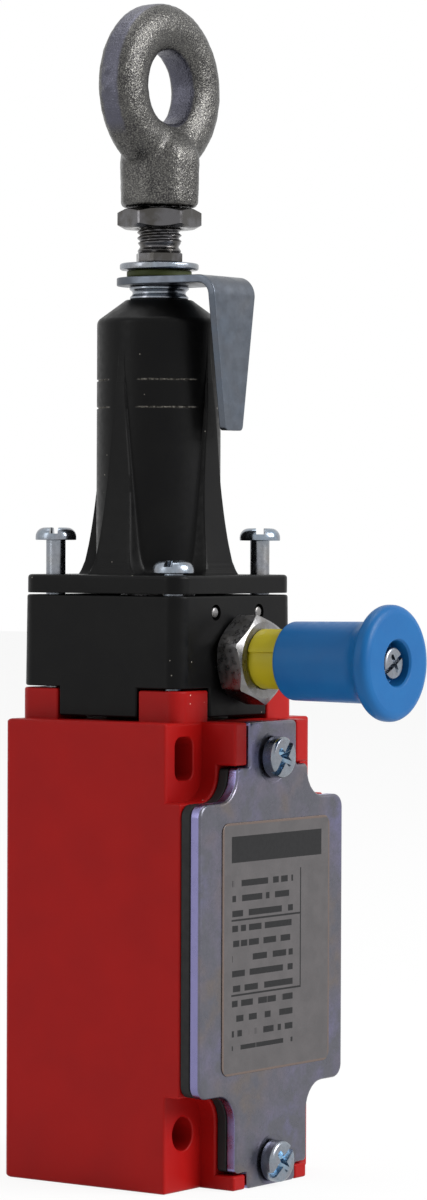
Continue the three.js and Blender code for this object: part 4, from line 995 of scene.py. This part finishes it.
def eye():
    """Ring swept round a circle with a flattened section, joined to a turned base with faint facets and to two
    small bumps on its rim; all are remeshed as one skin, smoothed, and roughened along the normals by a sum
    of sine waves. The attribute band marks the flattened outside and inside of the ring."""
    ring_radius, wire = 10.05, 3.85
    u = 2 * np.pi * np.arange(120) / 120
    v = 2 * np.pi * np.arange(48) / 48
    radial = wire * np.clip(np.cos(v) * np.where(np.cos(v) > 0, 1.07, 1.2), -1, 1)
    axial = wire * np.sin(v)
    swell = 1 + 0.10 * np.exp(-((u - 1.5 * np.pi) / 0.5) ** 2)
    away = ring_radius + radial[None, :] * swell[:, None]
    rings = np.stack([away * np.cos(u)[:, None], axial[None, :] * swell[:, None],
                      away * np.sin(u)[:, None] + eye_centre], -1)
    ring = outward(rings.reshape(-1, 3), skin(rings, ends_meet=True))
    profile = np.array([(0, 0), (5.6, 0), (6.1, 0.15), (6.42, 0.6), (6.5, 4.2), (6.6, 7.6), (6.45, 8.8),
                        (6.0, 9.8), (5.2, 10.8), (4.2, 11.8), (2.9, 12.5), (0, 12.8)]) + (0, eye_bottom)
    angle = 2 * np.pi * np.arange(96) / 96
    facet = 1 - 0.022 * np.cos(8 * angle + 0.6)
    rings = around(profile[:, :1] * facet, angle, profile[:, 1:])
    base = outward(rings.reshape(-1, 3), skin(rings, ends_meet=True))
    bump, rim = 0.75, 13.75
    sphere = to_axis([(0, -bump, 0), (bump, -bump, bump - 0.01), (bump, bump, bump - 0.01), (0, bump, 0)], 8)
    bumps = []
    for degrees in (172, 184):
        t = math.radians(degrees)
        bumps.append(turned(sphere, 20, rim * math.cos(t), 0.4, eye_centre + rim * math.sin(t)))
    socket = post(ring_bore, eye_bottom - 8.8, eye_bottom + 9.4, 0, 0, 48)
    joined = work_object(carved(base, [ring] + bumps, [socket]))
    remesh = joined.modifiers.new("remesh", "REMESH")
    remesh.mode = "VOXEL"
    remesh.voxel_size = 0.21
    smooth = joined.modifiers.new("smooth", "SMOOTH")
    smooth.factor = 0.6
    smooth.iterations = 26
    mesh = bpy.data.meshes.new_from_object(joined.evaluated_get(bpy.context.evaluated_depsgraph_get()))
    bpy.data.objects.remove(joined)
    points = np.empty(len(mesh.vertices) * 3)
    normals = np.empty(len(mesh.vertices) * 3)
    mesh.vertices.foreach_get("co", points)
    mesh.vertex_normals.foreach_get("vector", normals)
    points, normals = points.reshape(-1, 3), normals.reshape(-1, 3)
    faces = [list(face.vertices) for face in mesh.polygons]
    bpy.data.meshes.remove(mesh)
    rough = 0.004
    waves = np.random.default_rng(7)
    height = np.zeros(len(points))
    for size in (2.4, 1.4, 0.8):
        for _ in range(10):
            direction = unit(waves.normal(size=3)) * 2 * np.pi / size
            height += np.sin(points @ direction + waves.uniform(0, 2 * np.pi)) * rough * math.sqrt(size)
    clear = np.clip((np.hypot(points[:, 0], points[:, 1]) - 4.2) * 2, 0, 1)
    clear = np.where(points[:, 2] > eye_bottom + 11, 1, clear)
    points = points + normals * (height * clear)[:, None]
    points[:, 2] = np.maximum(points[:, 2], eye_bottom + 0.02)
    shell = points + (0, -axis_depth, 0), faces
    thing = piece("eye_forging", shell, forged, "spindle_unit", ["eye_nut"],
                  crease=60, weighted=False)
    place = placed(thing) + (0, axis_depth, 0)
    off_wire = np.abs(np.hypot(place[:, 0], place[:, 2] - eye_centre) - ring_radius)
    band = np.clip((off_wire - 3.6) / 0.15, 0, 1) * np.clip((place[:, 2] - 170) / 2, 0, 1)
    record(thing, "band", band * (np.abs(place[:, 1]) < 3))


def spindle_stack():
    """Waisted spacer, green ring, washer and lock nut on the spindle."""
    low, high = bell_top + seat, pointer_bottom - seat
    rim, waist = 4.9, 4.4
    section = outline([(ring_bore, low, 0.1), (4.85, low, 0.15), (4.8, 144.1, 0.1), (waist, 144.5, 0.3),
                       (waist, 144.9, 0.3), (rim, 145.35, 0.15), (rim, high, 0.15),
                       (ring_bore, high, 0.1)], 0, 5)
    spacer = turned(section, 72, 0, -axis_depth, 0)
    piece("spacer_turned", spacer, screw_zinc, "spindle_unit", ["spacer_nut"])
    collar("fibre_ring", 5.35, ring_bottom, ring_bottom + 1.1, 0.25, green, "indicator_ring")
    collar("plain_washer", 6.5, washer_bottom, washer_bottom + 1.1, 0.35, screw_zinc, "washer")
    nut = hex_nut(12.2, lock_nut_bottom, lock_nut_top, ring_bore, turn=7)
    nut = moved(nut, 0, -axis_depth, 0)
    piece("locking_nut", nut, bright, "spindle_unit", ["lock_nut"], crease=20)


def dress_nodes():
    """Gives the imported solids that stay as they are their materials."""
    looks = {
        "contact_block": phenolic, "contact_carrier": ivory, "carrier_spring": spring_wire,
        "reset_spring": spring_wire, "main_spring": spring_wire, "spring_seat": zinc,
        "retaining_ring": spring_wire, "head_gasket": rubber, "seal_ring": rubber, "plunger": bright,
        "earth_clamp": screw_zinc, "earth_screw": brass, "reset_shaft": bright, "latch_slide": bright,
        "cam": bright, "cam_pin": bright,
        "contact_block_screw_left": screw_zinc, "contact_block_screw_right": screw_zinc,
    }
    for level in ("lower", "upper"):
        looks[f"contact_bridge_{level}"] = brass
        for side in ("left", "right"):
            looks[f"terminal_{level}_{side}"] = brass
            looks[f"terminal_screw_{level}_{side}"] = screw_zinc
    for name, material in looks.items():
        mesh = frame["nodes"][name].data
        mesh.materials.clear()
        mesh.materials.append(material)


# Camera, floor and light

def camera():
    """Stands where the photo's camera stood: its place and its axes, as fitted to the photo."""
    lens_pixels, tall, sensor = 4215, 1200, 24
    data = bpy.data.cameras.new("camera")
    data.sensor_fit = "VERTICAL"
    data.sensor_height = sensor
    data.lens = sensor * lens_pixels / tall
    data.clip_start = 0.01
    thing = bpy.data.objects.new("camera", data)
    look = Vector((0.8093, 0.5871, -0.0155)).normalized()
    right = Vector((0.5873, -0.8094, 0.0039))
    right = (right - look * right.dot(look)).normalized()
    up = right.cross(look)
    matrix = Matrix((right, up, -look)).transposed().to_4x4()
    matrix.translation = Vector((-556.68, -431.42, 65.82)) * 0.001
    thing.matrix_world = matrix
    bpy.context.scene.collection.objects.link(thing)
    bpy.context.scene.camera = thing


def lamp(name, place, width, height, power):
    """A soft box that faces the middle of the switch."""
    middle = Vector((0, -0.02, 0.06))
    data = bpy.data.lights.new(name, "AREA")
    data.shape = "RECTANGLE"
    data.size, data.size_y = width, height
    data.energy = power
    thing = bpy.data.objects.new(name, data)
    place = Vector(place)
    thing.location = place
    thing.rotation_euler = (middle - place).to_track_quat("-Z", "Y").to_euler()
    bpy.context.scene.collection.objects.link(thing)


def seen_rays(tree):
    """One for the rays that show the white background: camera, glossy and transmission rays."""
    path = add(tree, "LightPath")
    shown = path.outputs["Is Camera Ray"]
    for output in ("Is Glossy Ray", "Is Transmission Ray"):
        shown = add(tree, "Math", {0: shown, 1: path.outputs[output]}, operation="MAXIMUM").outputs[0]
    return shown


def studio():
    """Three soft boxes and a white world, which gives less light than it shows."""
    lamp("key", (0.35, -1.1, 0.7), 0.7, 0.7, 19)
    lamp("side", (-1.1, 0.5, 0.5), 0.4, 0.9, 3)
    lamp("top", (0.1, 0.2, 1.3), 0.8, 0.8, 6)
    bpy.context.scene.view_settings.view_transform = "Standard"
    world = bpy.data.worlds.new("studio")
    bpy.context.scene.world = world
    world.use_nodes = True
    tree = world.node_tree
    span = {"Value": seen_rays(tree), "To Min": 0.32, "To Max": 1.0}
    strength = add(tree, "MapRange", span).outputs["Result"]
    background = tree.nodes["Background"]
    background.inputs["Color"].default_value = (1, 1, 1, 1)
    tree.links.new(strength, background.inputs["Strength"])


def floor():
    """Wide white paper just under the switch, which shows white and keeps the shadow."""
    half = 3.0
    level = -origin_height * 0.001 - 0.0001
    mesh = bpy.data.meshes.new("floor")
    corners = [(x, y, level) for x, y, _ in rectangle(-half, half, -half, half, 0)]
    mesh.from_pydata(corners, [], [(0, 1, 2, 3)])
    thing = bpy.data.objects.new("floor", mesh)
    bpy.context.scene.collection.objects.link(thing)
    material = bpy.data.materials.new("studio_paper")
    material.use_nodes = True
    tree = material.node_tree
    shader = tree.nodes["Principled BSDF"]
    shader.inputs["Base Color"].default_value = colour("f4f4f4")
    shader.inputs["Roughness"].default_value = 0.9
    share = add(tree, "Math", {0: seen_rays(tree), 1: 0.9}, operation="MULTIPLY").outputs[0]
    glow = add(tree, "Emission", {"Color": (1, 1, 1, 1), "Strength": 1.0}).outputs[0]
    mix = add(tree, "MixShader", {0: share, 1: shader.outputs[0], 2: glow}).outputs[0]
    tree.links.new(mix, tree.nodes["Material Output"].inputs["Surface"])
    mesh.materials.append(material)


camera()
studio()
floor()
housing()
front()
screws()
head()
bell()
reset_control()
pointer()
spindle()
eye()
spindle_stack()
dress_nodes()
